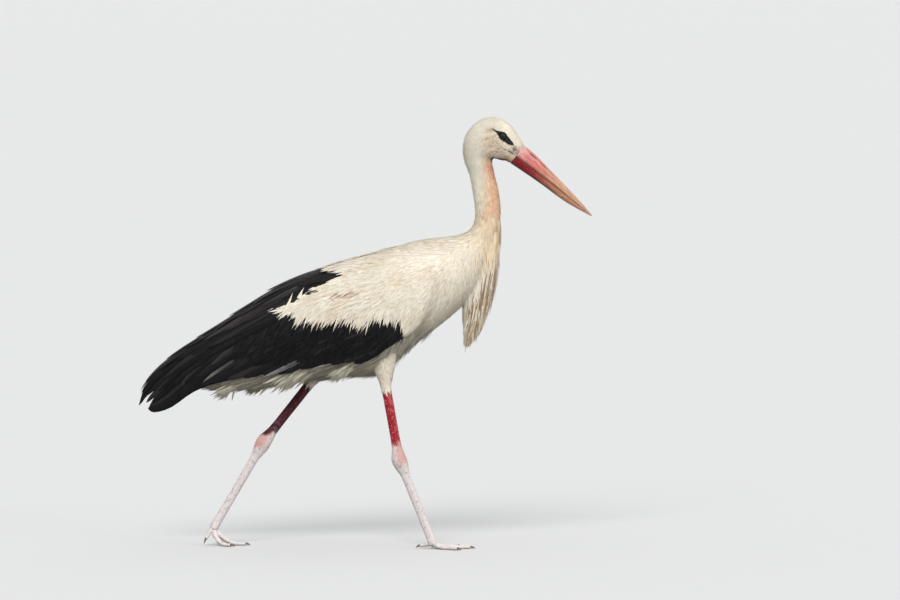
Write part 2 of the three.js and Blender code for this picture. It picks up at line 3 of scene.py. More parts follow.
import bpy
import numpy as np
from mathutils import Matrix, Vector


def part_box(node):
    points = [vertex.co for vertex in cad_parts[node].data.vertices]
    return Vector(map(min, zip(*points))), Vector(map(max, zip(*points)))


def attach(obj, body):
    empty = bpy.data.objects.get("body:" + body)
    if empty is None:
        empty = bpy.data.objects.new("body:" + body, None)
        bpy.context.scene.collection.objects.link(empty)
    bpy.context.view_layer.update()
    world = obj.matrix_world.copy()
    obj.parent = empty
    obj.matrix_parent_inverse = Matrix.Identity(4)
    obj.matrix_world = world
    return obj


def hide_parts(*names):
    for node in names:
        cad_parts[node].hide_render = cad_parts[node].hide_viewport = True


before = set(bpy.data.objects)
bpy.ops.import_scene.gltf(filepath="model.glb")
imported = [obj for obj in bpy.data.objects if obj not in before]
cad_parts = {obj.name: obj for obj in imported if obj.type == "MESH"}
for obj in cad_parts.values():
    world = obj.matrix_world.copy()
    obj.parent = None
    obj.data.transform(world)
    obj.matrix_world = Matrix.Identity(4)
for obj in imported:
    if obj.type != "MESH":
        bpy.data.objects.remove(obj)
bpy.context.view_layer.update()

# ---- The stage ------------------------------------------------------------------------
# A pale matt floor that runs out of sight, a broad soft lamp high in front of the bird, a
# weaker one low beside its head, an even fill, and a long lens that looks at its right side.
LOOKS_AT = (0.1634, 0.0, 0.4712)    # middle of the view, in metres
CAMERA_DISTANCE = 14.25
CAMERA_RISE = math.radians(3.0)     # the lens looks down by this much
LENS, SENSOR = 300, 36              # mm
LAMPS = {"key": (1.75, (54, -14, 0)), "side": (0.8, (78, 0, 52))}    # strength, and turns in degrees
LAMP_WIDTH = math.radians(26)       # how broad each lamp looks from the bird
FILL = (0.96 * 0.62, 0.97 * 0.62, 1.0 * 0.62, 1)
BACKGROUND = (0.80, 0.80, 0.79, 1)
FLOOR_HALF = 200.0
FLOOR_LIT, FLOOR_SEEN = (0.17, 0.17, 0.155, 1), (0.82, 0.82, 0.81, 1)


class Wire:
    """One socket of a shader. Sums on it add Math nodes, and node() adds any other node."""

    def __init__(self, tree, socket=None):
        self.tree = tree
        self.socket = socket

    def node(self, kind, settings=None, inputs=None, output=0):
        """A new node with its settings, and a value or a wire on each of its inputs, as its output."""
        made = self.tree.nodes.new(kind)
        for name, value in (settings or {}).items():
            setattr(made, name, value)
        for key, value in (inputs or {}).items():
            if isinstance(value, Wire):
                self.tree.links.new(value.socket, made.inputs[key])
            else:
                made.inputs[key].default_value = value
        return Wire(self.tree, made.outputs[output])

    def sum(self, operation, first, second):
        """A Math node's result for two wires or numbers."""
        return self.node("ShaderNodeMath", {"operation": operation}, {0: first, 1: second})

    def __add__(self, other):
        return self.sum("ADD", self, other)

    def __mul__(self, other):
        return self.sum("MULTIPLY", self, other)

    def __sub__(self, other):
        return self.sum("SUBTRACT", self, other)

    def between(self, low, high):
        """0 below low and 1 above high, and a smooth step between them."""
        settings = {"interpolation_type": "SMOOTHSTEP"}
        return self.node("ShaderNodeMapRange", settings, {0: self, 1: low, 2: high})

    def mix(self, first, second, blend="MIX"):
        """Two colours blended by this wire."""
        settings = {"data_type": "RGBA", "blend_type": blend}
        return self.node("ShaderNodeMix", settings, {0: self, 6: first, 7: second}, output=2)


def finish_named(name, roughness, **sockets):
    """A new Principled material, with its even values straight on its sockets. Returns it, a first wire and a
    function that links a wire to one of its sockets."""
    material = bpy.data.materials.new(name)
    material.use_nodes = True
    shader = material.node_tree.nodes["Principled BSDF"]
    shader.inputs["Roughness"].default_value = roughness
    for socket, value in sockets.items():
        shader.inputs[socket.replace("_", " ")].default_value = value

    def feed(socket, wire):
        material.node_tree.links.new(wire.socket, shader.inputs[socket])

    return material, Wire(material.node_tree), feed


def mesh_object(name, points, corners, starts, smooth=None, tone=None, maps=None, normals=None):
    """A mesh from whole arrays: points, the point of each face corner, each face's first corner, and the
    normal that each corner is shaded with, if it is not the face's own."""
    mesh = bpy.data.meshes.new(name)
    mesh.vertices.add(len(points))
    mesh.vertices.foreach_set("co", np.asarray(points, np.float32).ravel())
    mesh.loops.add(len(corners))
    mesh.loops.foreach_set("vertex_index", np.asarray(corners, np.int32))
    mesh.polygons.add(len(starts))
    mesh.polygons.foreach_set("loop_start", np.asarray(starts, np.int32))
    smooth = np.ones(len(starts), bool) if smooth is None else smooth
    mesh.polygons.foreach_set("use_smooth", smooth)
    mesh.update(calc_edges=True)
    for label, values in (tone or {}).items():
        layer = mesh.attributes.new(label, "FLOAT_COLOR", "POINT")
        rgba = np.ones((len(points), 4), np.float32)
        rgba[:, :values.shape[1]] = values
        layer.data.foreach_set("color", rgba.ravel())
    for label, values in (maps or {}).items():
        layer = mesh.uv_layers.new(name=label)
        layer.uv.foreach_set("vector", np.asarray(values, np.float32)[corners].ravel())
    if normals is not None:
        layer = mesh.attributes.new("custom_normal", "FLOAT_VECTOR", "CORNER")
        layer.data.foreach_set("vector", np.asarray(normals, np.float32).ravel())
    made = bpy.data.objects.new(name, mesh)
    bpy.context.scene.collection.objects.link(made)
    return made


def background_rays(wire):
    """1 for rays that show the background as it is (from the camera, off a gloss, through glass), else 0."""
    path = wire.node("ShaderNodeLightPath")
    glossy = Wire(wire.tree, path.socket.node.outputs["Is Glossy Ray"])
    through = Wire(wire.tree, path.socket.node.outputs["Is Transmission Ray"])
    return path + glossy + through


square = np.array([[-1, -1, 0], [1, -1, 0], [1, 1, 0], [-1, 1, 0]])
floor = mesh_object("floor", square * FLOOR_HALF, np.arange(4), [0])
floor_finish, wire, feed = finish_named("studio floor", 0.9)
feed("Base Color", background_rays(wire).mix(FLOOR_LIT, FLOOR_SEEN))
floor.data.materials.append(floor_finish)

for name, (strength, turns) in LAMPS.items():
    lamp_data = bpy.data.lights.new(name, "SUN")
    lamp_data.energy = strength
    lamp_data.angle = LAMP_WIDTH
    lamp = bpy.data.objects.new(name, lamp_data)
    lamp.rotation_euler = np.radians(turns)
    bpy.context.scene.collection.objects.link(lamp)

world = bpy.data.worlds.new("studio")
world.use_nodes = True
bpy.context.scene.world = world
shown = background_rays(Wire(world.node_tree)).mix(FILL, BACKGROUND)
world.node_tree.links.new(shown.socket, world.node_tree.nodes["Background"].inputs["Color"])

camera_data = bpy.data.cameras.new("camera")
camera_data.lens = LENS
camera_data.sensor_width = SENSOR
camera_data.clip_end = 4 * FLOOR_HALF
camera = bpy.data.objects.new("camera", camera_data)
way = np.array([0, -math.cos(CAMERA_RISE), math.sin(CAMERA_RISE)])
camera.location = LOOKS_AT + way * CAMERA_DISTANCE
camera.rotation_euler = (math.pi / 2 - CAMERA_RISE, 0, 0)
bpy.context.scene.collection.objects.link(camera)
bpy.context.scene.camera = camera
bpy.context.scene.view_settings.view_transform = "Standard"

# ---- The skin -------------------------------------------------------------------------
# One skin, thin and pale under the feathers, black round the eyes and scaly on the legs. The
# trunk is carried over ribs from the bill to the tail, the legs are tubes whose six-sided
# scales stand up from grooves, and the lids are rings.
BILL_TILT = math.radians(39.5)
BILL_BASE = np.array([296.5, 743.5])    # mm, as are the next two
BILL_ROOT_HALF_DEPTH = 21.2
BILL_ROOT_INSET = 7.0


def bill_place(reach, height, across=0.0):
    """Millimetres along the bill, over its middle line and to its left, as a point in metres."""
    x = BILL_BASE[0] + reach * math.cos(BILL_TILT) + height * math.sin(BILL_TILT)
    z = BILL_BASE[1] - reach * math.sin(BILL_TILT) + height * math.cos(BILL_TILT)
    return np.stack(np.broadcast_arrays(x, across, z), -1) * 0.001


brow_edge = bill_place(-BILL_ROOT_INSET, BILL_ROOT_HALF_DEPTH) * 1000
chin_edge = bill_place(-BILL_ROOT_INSET, -BILL_ROOT_HALF_DEPTH) * 1000
# Each rib: back point x and z, belly point x and z, half width, share of the depth where it
# is widest, fullness (2 is an ellipse), and how deep the skin lies under the feathers. In mm.
RIBS = np.array([
    (brow_edge[0], brow_edge[2], chin_edge[0], chin_edge[2], 13.5, 0.55, 2, 0.8),
    (293.5, 783, 277.5, 731.5, 17.5, 0.56, 2, 1.4),
    (277, 806, 274, 733, 22.5, 0.54, 2, 2.2),
    (249, 820, 269, 735.5, 26, 0.5, 2.05, 3),
    (218, 813, 264, 736, 27, 0.48, 2.1, 3.4),
    (194, 788, 257, 737.5, 26.5, 0.46, 2.1, 4),
    (187, 760, 249, 740, 25, 0.46, 2.05, 4.5),
    (190, 735, 243.5, 736, 23, 0.48, 2, 5),
    (199, 712, 248, 713, 21.5, 0.5, 2, 5.5),
    (206, 676, 256.5, 677, 22, 0.5, 2, 6),
    (210.5, 644, 260, 640, 23.5, 0.5, 2, 7),
    (209, 618, 256, 600, 27, 0.5, 2, 8),
    (199, 603, 241, 547, 34, 0.5, 2, 9),
    (181, 595.5, 216, 492, 47, 0.5, 2, 10),
    (150, 591, 176, 450, 63, 0.5, 2.1, 10),
    (108, 586, 130, 412, 74, 0.5, 2.1, 10),
    (62, 573, 85, 377, 78, 0.54, 2, 10),
    (12, 550, 38, 333, 79, 0.58, 2, 10),
    (-50, 522, -30, 324, 76, 0.6, 2, 10),
    (-128, 483, -120, 317, 68, 0.6, 2, 10),
    (-207, 438, -197, 303, 51, 0.58, 2, 9),
    (-284, 384, -272, 299, 31, 0.56, 2, 7),
    (-336, 341, -323, 307, 13, 0.5, 2, 4),
])
THROAT, TAIL_END = 7, 22            # ribs by number


def along(rows, s, knots=None):
    """A smooth curve through rows: cubic pieces whose slope at a row is that between its two neighbours."""
    rows = np.asarray(rows, float)
    knots = np.arange(len(rows), dtype=float) if knots is None else np.asarray(knots, float)
    s = np.clip(s, knots[0], knots[-1])
    i = np.clip(np.searchsorted(knots, s, side="right") - 1, 0, len(rows) - 2)
    number = np.arange(len(rows))
    before, after = np.maximum(number - 1, 0), np.minimum(number + 1, len(rows) - 1)
    slope = (rows[after] - rows[before]) / (knots[after] - knots[before])[:, None]
    h = (knots[i + 1] - knots[i])[..., None]
    t = (s - knots[i])[..., None] / h
    p, q, m, n = rows[i], rows[i + 1], slope[i] * h, slope[i + 1] * h
    return p + t * (m + t * (3 * (q - p) - 2 * m - n + t * (2 * (p - q) + m + n)))


def body(a, v, depth=0.0):
    """The body at rib a and turn v round from the back ridge, to the left at a quarter: an egg-shaped ring
    between the rib's back and belly points, smaller all round by depth (mm)."""
    a, v = np.broadcast_arrays(np.asarray(a, float), np.asarray(v, float))
    up_x, up_z, low_x, low_z, half, widest, full, _ = np.moveaxis(along(RIBS, a), -1, 0)
    run_x, run_z = low_x - up_x, low_z - up_z
    tall = np.hypot(run_x, run_z)
    c, s = np.cos(2 * np.pi * v), np.sin(2 * np.pi * v)
    c = np.sign(c) * np.abs(c) ** (2 / full)
    s = np.sign(s) * np.abs(s) ** (2 / full)
    reach = np.where(c > 0, tall * widest, tall * (1 - widest)) - depth
    down = tall * widest - c * reach
    return np.stack([up_x + run_x / tall * down, s * (half - depth), up_z + run_z / tall * down], -1) * 0.001


def grid(rows, columns):
    """Two tables with the value of its row and of its column at each place."""
    return np.meshgrid(rows, columns, indexing="ij")


def grid_faces(rows, columns):
    """The four corners of each cell of a grid of points, row by row, the last column joined to the first."""
    r, c = grid(np.arange(rows - 1), np.arange(columns))
    n = (c + 1) % columns
    low, high = r * columns, (r + 1) * columns
    return np.stack([low + c, low + n, high + n, high + c], -1).reshape(-1, 4)


class Parts:
    """Closed surfaces gathered for one mesh: points, faces and a few values for each point."""

    def __init__(self):
        self.points, self.corners, self.starts, self.values = [], [], [], []
        self.count = self.corner_count = 0

    def add(self, points, faces, values):
        """Points with their values, and faces of any one number of corners."""
        points = np.asarray(points).reshape(-1, 3)
        self.points.append(points)
        self.values.append(np.asarray(values).reshape(len(points), -1))
        self.corners.append(faces.ravel() + self.count)
        self.starts.append(np.arange(len(faces)) * faces.shape[1] + self.corner_count)
        self.count += len(points)
        self.corner_count += faces.size

    def tube(self, rings, values, outward=True):
        """A tube over a grid of rings, its ends closed by a point each, turned over if it is not outward."""
        rows, columns = rings.shape[:2]
        points, kept = (
            np.concatenate([part.reshape(rows * columns, -1), [part[0].mean(0), part[-1].mean(0)]])
            for part in (rings, np.asarray(values)))
        c = np.arange(columns)
        n = (c + 1) % columns
        last = (rows - 1) * columns
        first_cap = np.stack([n, c, np.full(columns, rows * columns)], -1)
        last_cap = np.stack([last + c, last + n, np.full(columns, rows * columns + 1)], -1)
        sides, *caps = (
            faces if outward else faces[:, ::-1]
            for faces in (grid_faces(rows, columns), first_cap, last_cap))
        base = self.count
        self.add(points, sides, kept)
        for cap in caps:
            self.corners.append(cap.ravel() + base)
            self.starts.append(np.arange(columns) * 3 + self.corner_count)
            self.corner_count += cap.size

    def made(self, name, labels, maps=None):
        """The mesh, with the values as colour attributes of three numbers each."""
        values = np.concatenate(self.values)
        tone = {label: values[:, 3 * i:3 * i + 3] for i, label in enumerate(labels)}
        lists = (np.concatenate(part) for part in (self.points, self.corners, self.starts))
        return mesh_object(name, *lists, tone=tone, maps=maps)


def side_view(points):
    """The x and z of points in metres, in mm."""
    return points[..., 0] * 1000, points[..., 2] * 1000


def blend(colour, other, share):
    """Colours moved towards another by a share for each point."""
    return colour + (other - colour) * share[..., None]


def ease(x, low, high):
    """0 below low, 1 above high and a smooth step between."""
    t = np.clip((x - low) / (high - low), 0, 1)
    return t * t * (3 - 2 * t)


def waves(points, size, seed):
    """Soft random blotches from -1 to 1: five crossed sine waves about `size` metres long."""
    draw = np.random.default_rng(seed)
    turns = draw.normal(size=(5, 3))
    turns /= np.linalg.norm(turns, axis=1)[:, None]
    stretch = draw.uniform(0.6, 1.6, 5)[:, None]
    phase = draw.uniform(0, 2 * np.pi, 5)
    return np.sin(points @ (turns * stretch * 2 * np.pi / size).T + phase).mean(-1) * 1.8


EYE_MIDDLE = np.array([263.5, 783.5])


def face_marks(points):
    """Share of black bare skin at each point: a streak from behind the eye through it and over the lore."""
    x, z = side_view(points)
    x, z = x - EYE_MIDDLE[0], z - EYE_MIDDLE[1]
    ahead = x * 0.77 - z * 0.64             # along the streak, down towards the bill
    over = x * 0.64 + z * 0.77
    half = np.interp(ahead, [-23, -13, -7, 0, 8, 16, 23, 29], [0.9, 2.2, 4.6, 7.8, 6.7, 5.0, 3.6, 0.6])
    middle = np.interp(ahead, [-23, -8, 0, 9, 20, 29], [-0.8, 0.2, 0, -0.6, -0.8, -0.4])
    bare = 1 - ease(np.abs(over - middle), half - 0.6, half + 0.7)
    return np.where((ahead > -23) & (ahead < 29), bare, 0.0)


def spot(x, z, middle_x, middle_z, wide, tall):
    """A soft spot: e to the power minus the squared distance from its middle in widths and heights."""
    return np.exp(-((x - middle_x) / wide) ** 2 - ((z - middle_z) / tall) ** 2)


def linear(*srgb):
    """Screen colours of 0 to 255 as linear ones: the low end divided by 12.92, the rest to the power 2.4."""
    c = np.asarray(srgb, float) / 255
    return np.where(c <= 0.04045, c / 12.92, ((c + 0.055) / 1.055) ** 2.4)


def feather_depth(a):
    """How deep the skin lies under the tips of the feathers at rib a (mm)."""
    return along(RIBS[:, 7:8], a)[..., 0]


HEAD_RINGS, TRUNK_RINGS, TRUNK_ROUND = 190, 90, 104
BARE_DEPTH, EYE_SOCKET = 0.9, 4.5           # mm
WRINKLE_SIZE, WRINKLE_DEPTH = 0.004, 0.22   # metres and mm
DOWN = linear(236, 224, 202)
BARE_BLACK = linear(9, 9, 11)
PEACH = linear(226, 172, 138)
ROOT_PINK = linear(206, 150, 148)
ROOT_GREY = linear(92, 78, 82)

skin = Parts()
head_a, trunk_a = np.linspace(0, THROAT, HEAD_RINGS), np.linspace(THROAT, TAIL_END, TRUNK_RINGS)
turn = np.linspace(0, 1, TRUNK_ROUND, endpoint=False)
grid_a, grid_v = grid(np.concatenate([head_a, trunk_a[1:]]), turn)
outer = body(grid_a, grid_v)
x, z = side_view(outer)
bare_face = face_marks(outer)
depth = feather_depth(grid_a) * (1 - bare_face) + BARE_DEPTH * bare_face
depth = depth + EYE_SOCKET * (1 - ease(np.hypot(x - EYE_MIDDLE[0], z - EYE_MIDDLE[1]), 4.5, 8.5))
depth = depth - waves(outer * (1, 1, 1.7), WRINKLE_SIZE, 3) * WRINKLE_DEPTH * bare_face
front = ease(grid_a, 5.6, 7.2) * (1 - ease(grid_a, 10.0, 10.9)) * (1 - np.cos(2 * np.pi * grid_v)) / 2
tone = blend(np.broadcast_to(DOWN, outer.shape), PEACH, 0.8 * front)
# The mottled pink and grey skin at the root of the bill, round the corner of the mouth.
mottled = blend(ROOT_PINK, ROOT_GREY, ease(waves(outer, 0.0035, 4), -0.1, 0.7))
tone = blend(tone, mottled, ease(spot(x, z, 291, 752, 8, 11), 0.1, 0.95))
tone = blend(tone, BARE_BLACK, ease(bare_face, 0.02, 0.22))


def with_scales(tone, share):
    """Colours, and beside each the share of scales there, from 0 for plain skin to 1."""
    return np.concatenate([tone, np.broadcast_to(share, tone.shape)], -1)


skin.tube(body(grid_a, grid_v, depth), with_scales(tone, 0), outward=False)

# The folded arms and the roots of the flight feathers lie flat along the trunk. Each wing rib:
# upper point x and z, lower point x and z, how far its upper and lower edges stand off the
# middle, how far it bulges, and its thickness. In mm.
WING_RIBS = np.array([
    (139, 532, 135, 480, 64, 66, 69, 12), (118, 560, 106, 424, 48, 76, 88, 26),
    (68, 574, 68, 388, 28, 80, 94, 34), (10, 561, 12, 357, 12, 79, 95, 34),
    (-50, 545, -50, 354, 5, 76, 92, 32), (-110, 525, -112, 343, 3, 71, 86, 30),
    (-170, 494.5, -172, 331, 2, 64, 78, 25), (-232, 454, -232, 325, 1.5, 55, 67, 14),
    (-292, 414, -286, 318, 1.2, 46, 56, 9), (-342, 382, -331, 300, 1, 37, 45, 7),
    (-388, 346, -368, 272, 0.9, 27, 33, 5.5), (-417, 310, -400, 261, 0.8, 17, 21, 4),
    (-433, 272, -414, 264, 0.8, 9, 10, 2.5),
])
# The edge of the white plumage over the black, back along the wing and up to the back, and
# round the rest of the bird. In mm, x and z.
WHITE_ZONE = np.array([
    (92, 384), (74, 412), (60, 421), (-30, 418), (-118, 420), (-158, 434), (-181, 450), (-140, 461),
    (-104, 488), (-66, 508), (-38, 523), (-106, 531), (-122, 560), (-122, 900), (700, 900), (700, 0),
    (98, 0),
])


def wing(a, v, side):
    """The wing's outer face at rib a back from the wrist and share v down it, on side 1 (left) or -1: a
    cubic curve from the upper edge out round the bulge to the lower edge."""
    up_x, up_z, low_x, low_z, inner, edge, bulge, _ = np.moveaxis(along(WING_RIBS, a), -1, 0)
    one, two, three = 3 * (1 - v) ** 2 * v, 3 * (1 - v) * v ** 2, v ** 3
    drop = 0.02 * one + 0.55 * two + three
    aside = (1 - v) ** 3 * inner + one * (inner + 0.92 * (bulge - inner)) + two * 1.12 * bulge + three * edge
    return np.stack([up_x + (low_x - up_x) * drop, side * aside, up_z + (low_z - up_z) * drop], -1) * 0.001


def inside(x, z, corners):
    """Whether a place is in a closed line of corners: a ray from it crosses it an odd number of times."""
    start, end = corners, np.roll(corners, -1, 0)
    x, z = x[..., None], z[..., None]
    spans = (start[:, 1] > z) != (end[:, 1] > z)
    rise = end[:, 1] - start[:, 1]
    cut = start[:, 0] + (end[:, 0] - start[:, 0]) * (z - start[:, 1]) / np.where(rise == 0, 1e-9, rise)
    return (spans & (x < cut)).sum(-1) % 2 == 1


SIDES = {"right": -1, "left": 1}
ARM_RINGS, ARM_ROUND = 74, 30
UNDER_BLACK = linear(24, 23, 25)
for side in SIDES.values():
    grid_a, grid_v = grid(np.linspace(0.2, 9.4, ARM_RINGS), np.linspace(0.05, 0.96, ARM_ROUND))
    face = wing(grid_a, grid_v, side)
    thick = along(WING_RIBS[:, 7:8], grid_a)[..., 0] * 0.001
    thick = thick * np.sin(np.pi * np.linspace(0.03, 0.97, ARM_ROUND)) ** 0.5
    outside = face.copy()
    outside[..., 1] = side * np.maximum(np.abs(face[..., 1]) - 0.0055 * ease(grid_v, 0.0, 0.3), 0.0006)
    outside[..., 2] -= 0.005 * (1 - ease(grid_v, 0.1, 0.4))
    behind = outside.copy()
    behind[..., 1] = side * np.maximum(np.abs(outside[..., 1]) - thick, 0.0003)
    ring = np.concatenate([outside, behind[:, ::-1]], 1)
    tone = np.where(inside(*side_view(ring), WHITE_ZONE)[..., None], DOWN, UNDER_BLACK)
    skin.tube(ring, with_scales(tone, 0), outward=side > 0)

# Under the plumes: the root of the beard of long feathers that hangs from the foreneck.
# Each rib: back point x and z, front point x and z, and half width, in mm.
PLUME_RIBS = np.array([
    (236, 606, 263, 604, 19), (214, 556, 258.5, 556, 27), (196, 502, 253.5, 503, 28),
    (187, 455, 239, 455, 24), (189.5, 412, 222, 412, 16), (191.5, 382, 196, 381, 3),
])
PLUME_DEPTH = 8.0                           # mm from the plumes' tips to the skin
PLUME_RINGS, PLUME_ROUND = 40, 40
UNDER_PLUMES = linear(150, 128, 98)


def plume(a, v, depth=0.0):
    """The beard at rib a down from the foreneck and turn v round from the back, to the left at a quarter:
    an oval ring between the rib's back and front points, smaller all round by depth (mm)."""
    a, v = np.broadcast_arrays(np.asarray(a, float), np.asarray(v, float))
    up_x, up_z, low_x, low_z, half = np.moveaxis(along(PLUME_RIBS, a), -1, 0)
    depth = np.minimum(depth, half * 0.7)
    thin = 1 - depth / np.maximum(np.hypot(low_x - up_x, low_z - up_z) / 2, depth + 1)
    share = 0.5 + (0.5 - 0.5 * np.cos(2 * np.pi * v) - 0.5) * thin
    aside = np.sin(2 * np.pi * v) * (half - depth)
    return np.stack([up_x + (low_x - up_x) * share, aside, up_z + (low_z - up_z) * share], -1) * 0.001


turn = np.linspace(0, 1, PLUME_ROUND, endpoint=False)
grid_a, grid_v = grid(np.linspace(0.0, 3.3, PLUME_RINGS), turn)
ring = plume(grid_a, grid_v, PLUME_DEPTH)
tone = np.broadcast_to(UNDER_PLUMES, ring.shape)
skin.tube(ring, with_scales(tone, 0), outward=False)

# Joints of each leg in the side view, in mm: top of the thigh, end of its feathers, hock and
# toe joint. Pitches are how far each bone of a toe points down, splay how far a side toe
# stands off the middle one, and hind the hind toe's own pitch, in degrees. Shade is painted
# shade: how much darker the shin is painted, for the far leg in the body's shadow.
LEGS = {
    "right": {"side": -1, "thigh": (36, 372), "cuff": (42, 309), "hock": (66.5, 171), "toe": (131.5, 9),
              "pitches": (14, 4, 0, 0), "splay": 36, "hind": 12, "shade": 0.0},
    "left": {"side": 1, "thigh": (-50, 372), "cuff": (-101, 313), "hock": (-190.5, 200), "toe": (-288, 33),
             "pitches": (62, 44, 18, 0), "splay": 30, "hind": 62, "shade": 0.9},
}
LEG_SPREAD = 38.0                   # mm from the middle of the bird
TOES = ("inner", "middle", "outer", "hind")
TOE_LENGTHS, HIND_LENGTH = (58, 71, 58), 22
CLAW_START, CLAW_LENGTH = 1.5, 9.2
# Along the leg: which bone (0 thigh, 1 shin, 2 shank), the share of the way down it, and the
# half depth and half width there, in mm.
LEG_SIZES = np.array([
    (0, 0, 27, 21), (0, 0.55, 18, 15), (0, 0.85, 11, 10.5), (1, 0, 9.3, 7.5), (1, 0.3, 8.9, 7.1),
    (1, 0.6, 8.7, 7.1), (1, 0.83, 9.5, 7.9), (1, 0.92, 12.1, 9.7), (2, 0, 14.2, 11), (2, 0.06, 13.8, 10.6),
    (2, 0.13, 10.9, 8.5), (2, 0.19, 8.5, 6.7), (2, 0.45, 7.9, 6.1), (2, 0.75, 7.8, 6.1), (2, 0.925, 8.1, 7.1),
    (2, 0.965, 8.6, 9.2), (2, 1, 8.2, 9.6),
])
# Rings of points along each shape, and points round each ring.
LEG_RINGS, LEG_ROUND, TOE_RINGS, TOE_ROUND, CLAW_RINGS, CLAW_ROUND = 350, 52, 84, 26, 20, 16
SCALES_ROUND, TOE_SCALES_ROUND = 13, 8
SCALE_ROW, TOE_SCALE_ROW = 3.3, 2.6    # mm
CHALK = linear(244, 240, 235)
SCALE_PINK = linear(232, 178, 166)
SHIN_RED = linear(178, 34, 50)
GROOVE_MAUVE = linear(164, 124, 132)
# The far shin's red darkened by the body's shadow: painted shade.
SHIN_SHADE_MAROON = linear(44, 14, 26)
# Pale pink of the flecks on the shin's scales, partly painted glints.
SHIN_FLECK_AND_GLINT = linear(240, 168, 160)
SPECK = linear(166, 122, 128)
# A painted highlight on the shaded far shin.
LILAC_HIGHLIGHT = linear(128, 104, 122)
DUST = linear(176, 158, 140)
CLAW_BROWN = linear(92, 76, 70)


def scales(across, rows_down, count, seed):
    """Six-sided scales in staggered rows, count of them round: how high a point stands from a groove (0) to
    the middle of its scale (1), from its distances to the nearest two of the jittered middles, and a number
    of 0 to 1 that each scale has for its own."""
    table = np.random.default_rng(seed).uniform(size=(211, count, 3))
    row, first, second = np.floor(rows_down), np.full(across.shape, 9.0), np.full(across.shape, 9.0)
    own = np.zeros(across.shape)
    for step_down in (-1, 0, 1):
        for step_round in (-1, 0, 1):
            r = row + step_down
            shift = 0.5 * (r % 2)
            c = np.floor(across - shift) + step_round
            draw = table[r.astype(int) % 211, c.astype(int) % count]
            gap = np.hypot(across - (c + 0.5 + shift + 0.34 * (draw[..., 0] - 0.5)),
                           0.9 * (rows_down - (r + 0.5 + 0.34 * (draw[..., 1] - 0.5))))
            second = np.where(gap < first, first, np.minimum(second, gap))
            own = np.where(gap < first, draw[..., 2], own)
            first = np.minimum(first, gap)
    return ease(second - first, 0.02, 0.42), own


def leg_colour(points, beyond, front, stand, own, painted_shade):
    """Colours at points so many mm beyond the hock, front being 1 there and -1 at the heel: red shin, pink
    front of the hock, chalky heel and shank, with mauve grooves and pale flecks on single scales that are
    partly painted glints. A painted highlight lies along the near shin's front edge, and painted shade
    turns the far shin maroon, with a lilac painted highlight above its hock."""
    blotch = waves(points, 0.03, 11) * 5 + waves(points, 0.009, 12) * 4
    # Painted shade on the far shin: its dark red reaches further down.
    red = 1 - ease(beyond + blotch - (5 - 18 * painted_shade) * front, -40 + 18 * painted_shade, -22 + 12 * painted_shade)
    warm = front * np.sign(0.5 - painted_shade)
    pink = (1 - ease(beyond + blotch * 1.3, 2, 28)) * (0.12 + 0.8 * ease(warm, -0.55, 0.25))
    # Painted shade: the far shin is painted towards maroon.
    top = SHIN_RED + (SHIN_SHADE_MAROON - SHIN_RED) * painted_shade
    base = blend(blend(CHALK, SCALE_PINK, pink), top, red)
    base = base * (1 + (own - 0.5) * 0.5 * red * ease(stand, 0.2, 0.7))[..., None]
    # A painted highlight along the near shin's lit front edge, and pale flecks on the scale tops that are
    # partly painted glints, fewer on the shaded shin.
    painted_edge_highlight = 0.35 * ease(front, 0.35, 0.95) * (1 - painted_shade)
    fleck_and_glint = np.clip(ease(own, 0.3, 0.8) * ease(stand, 0.4, 0.9) + painted_edge_highlight, 0, 1)
    fleck_and_glint = fleck_and_glint * red * (0.4 - 0.36 * painted_shade)
    base = blend(base, SHIN_FLECK_AND_GLINT, fleck_and_glint)
    specks = ease(waves(points, 0.005, 13) + 0.5 * waves(points, 0.012, 14), 0.55, 1.2) * (1 - red)
    base = blend(base, SPECK, 0.5 * specks)
    # Painted highlight: a lilac-grey sheen above the hock of the shaded far shin.
    lilac_highlight = ease(waves(points, 0.016, 15), -0.2, 0.6) * painted_shade * ease(beyond, -60, -30) * red
    base = blend(base, LILAC_HIGHLIGHT, 0.7 * lilac_highlight)
    return blend(base, blend(GROOVE_MAUVE, top * 0.55, red), (1 - stand) * (0.42 + 0.43 * red))


def toe_path(leg, heading, length):
    """The joints of a toe in mm: four bones that turn down by the leg's pitches, scaled by halving until
    the last one lies on the floor."""
    shares, turn = np.array([0.34, 0.26, 0.22, 0.18]), math.radians(heading)
    low, high = 0.0, 1.6
    for _ in range(30):
        scale = (low + high) / 2
        pitch = np.radians(leg["pitches"]) * scale
        bones = np.stack([
            np.cos(turn) * np.cos(pitch), np.full(4, np.sin(turn)), -np.cos(turn) * np.sin(pitch),
        ], -1) * (shares * length)[:, None]
        if -bones[:, 2].sum() < leg["toe"][1] - 3.1:
            low = scale
        else:
            high = scale
    start = np.array([leg["toe"][0], leg["side"] * LEG_SPREAD, leg["toe"][1]])
    return np.concatenate([start[None], start + np.cumsum(bones, 0)])


def circle(count):
    """Evenly spaced turns of a full circle, in radians."""
    return np.linspace(0, 2 * np.pi, count, endpoint=False)


def unit(ways):
    """Directions of length 1."""
    return ways / np.linalg.norm(ways, axis=-1)[..., None]


def run_to(joints):
    """How far each joint of a path lies from its start, along it."""
    return np.concatenate([[0], np.cumsum(np.linalg.norm(np.diff(joints, axis=0), axis=1))])


def frames(middle):
    """Directions aside from and over a path of points: aside is level and square to the path."""
    ahead = unit(np.gradient(middle, axis=0))
    aside = unit(np.cross((0, 0, 1.0), ahead))
    return aside, np.cross(ahead, aside)


def swept(middle, aside, over, wide, tall, floor):
    """Rings round a path in mm, each point so wide aside of it and so tall over it, and flat where it would
    pass through the floor."""
    ring = middle[:, None] + aside[:, None] * wide[..., None] + over[:, None] * tall[..., None]
    ring[..., 2] = np.maximum(ring[..., 2], floor)
    return ring


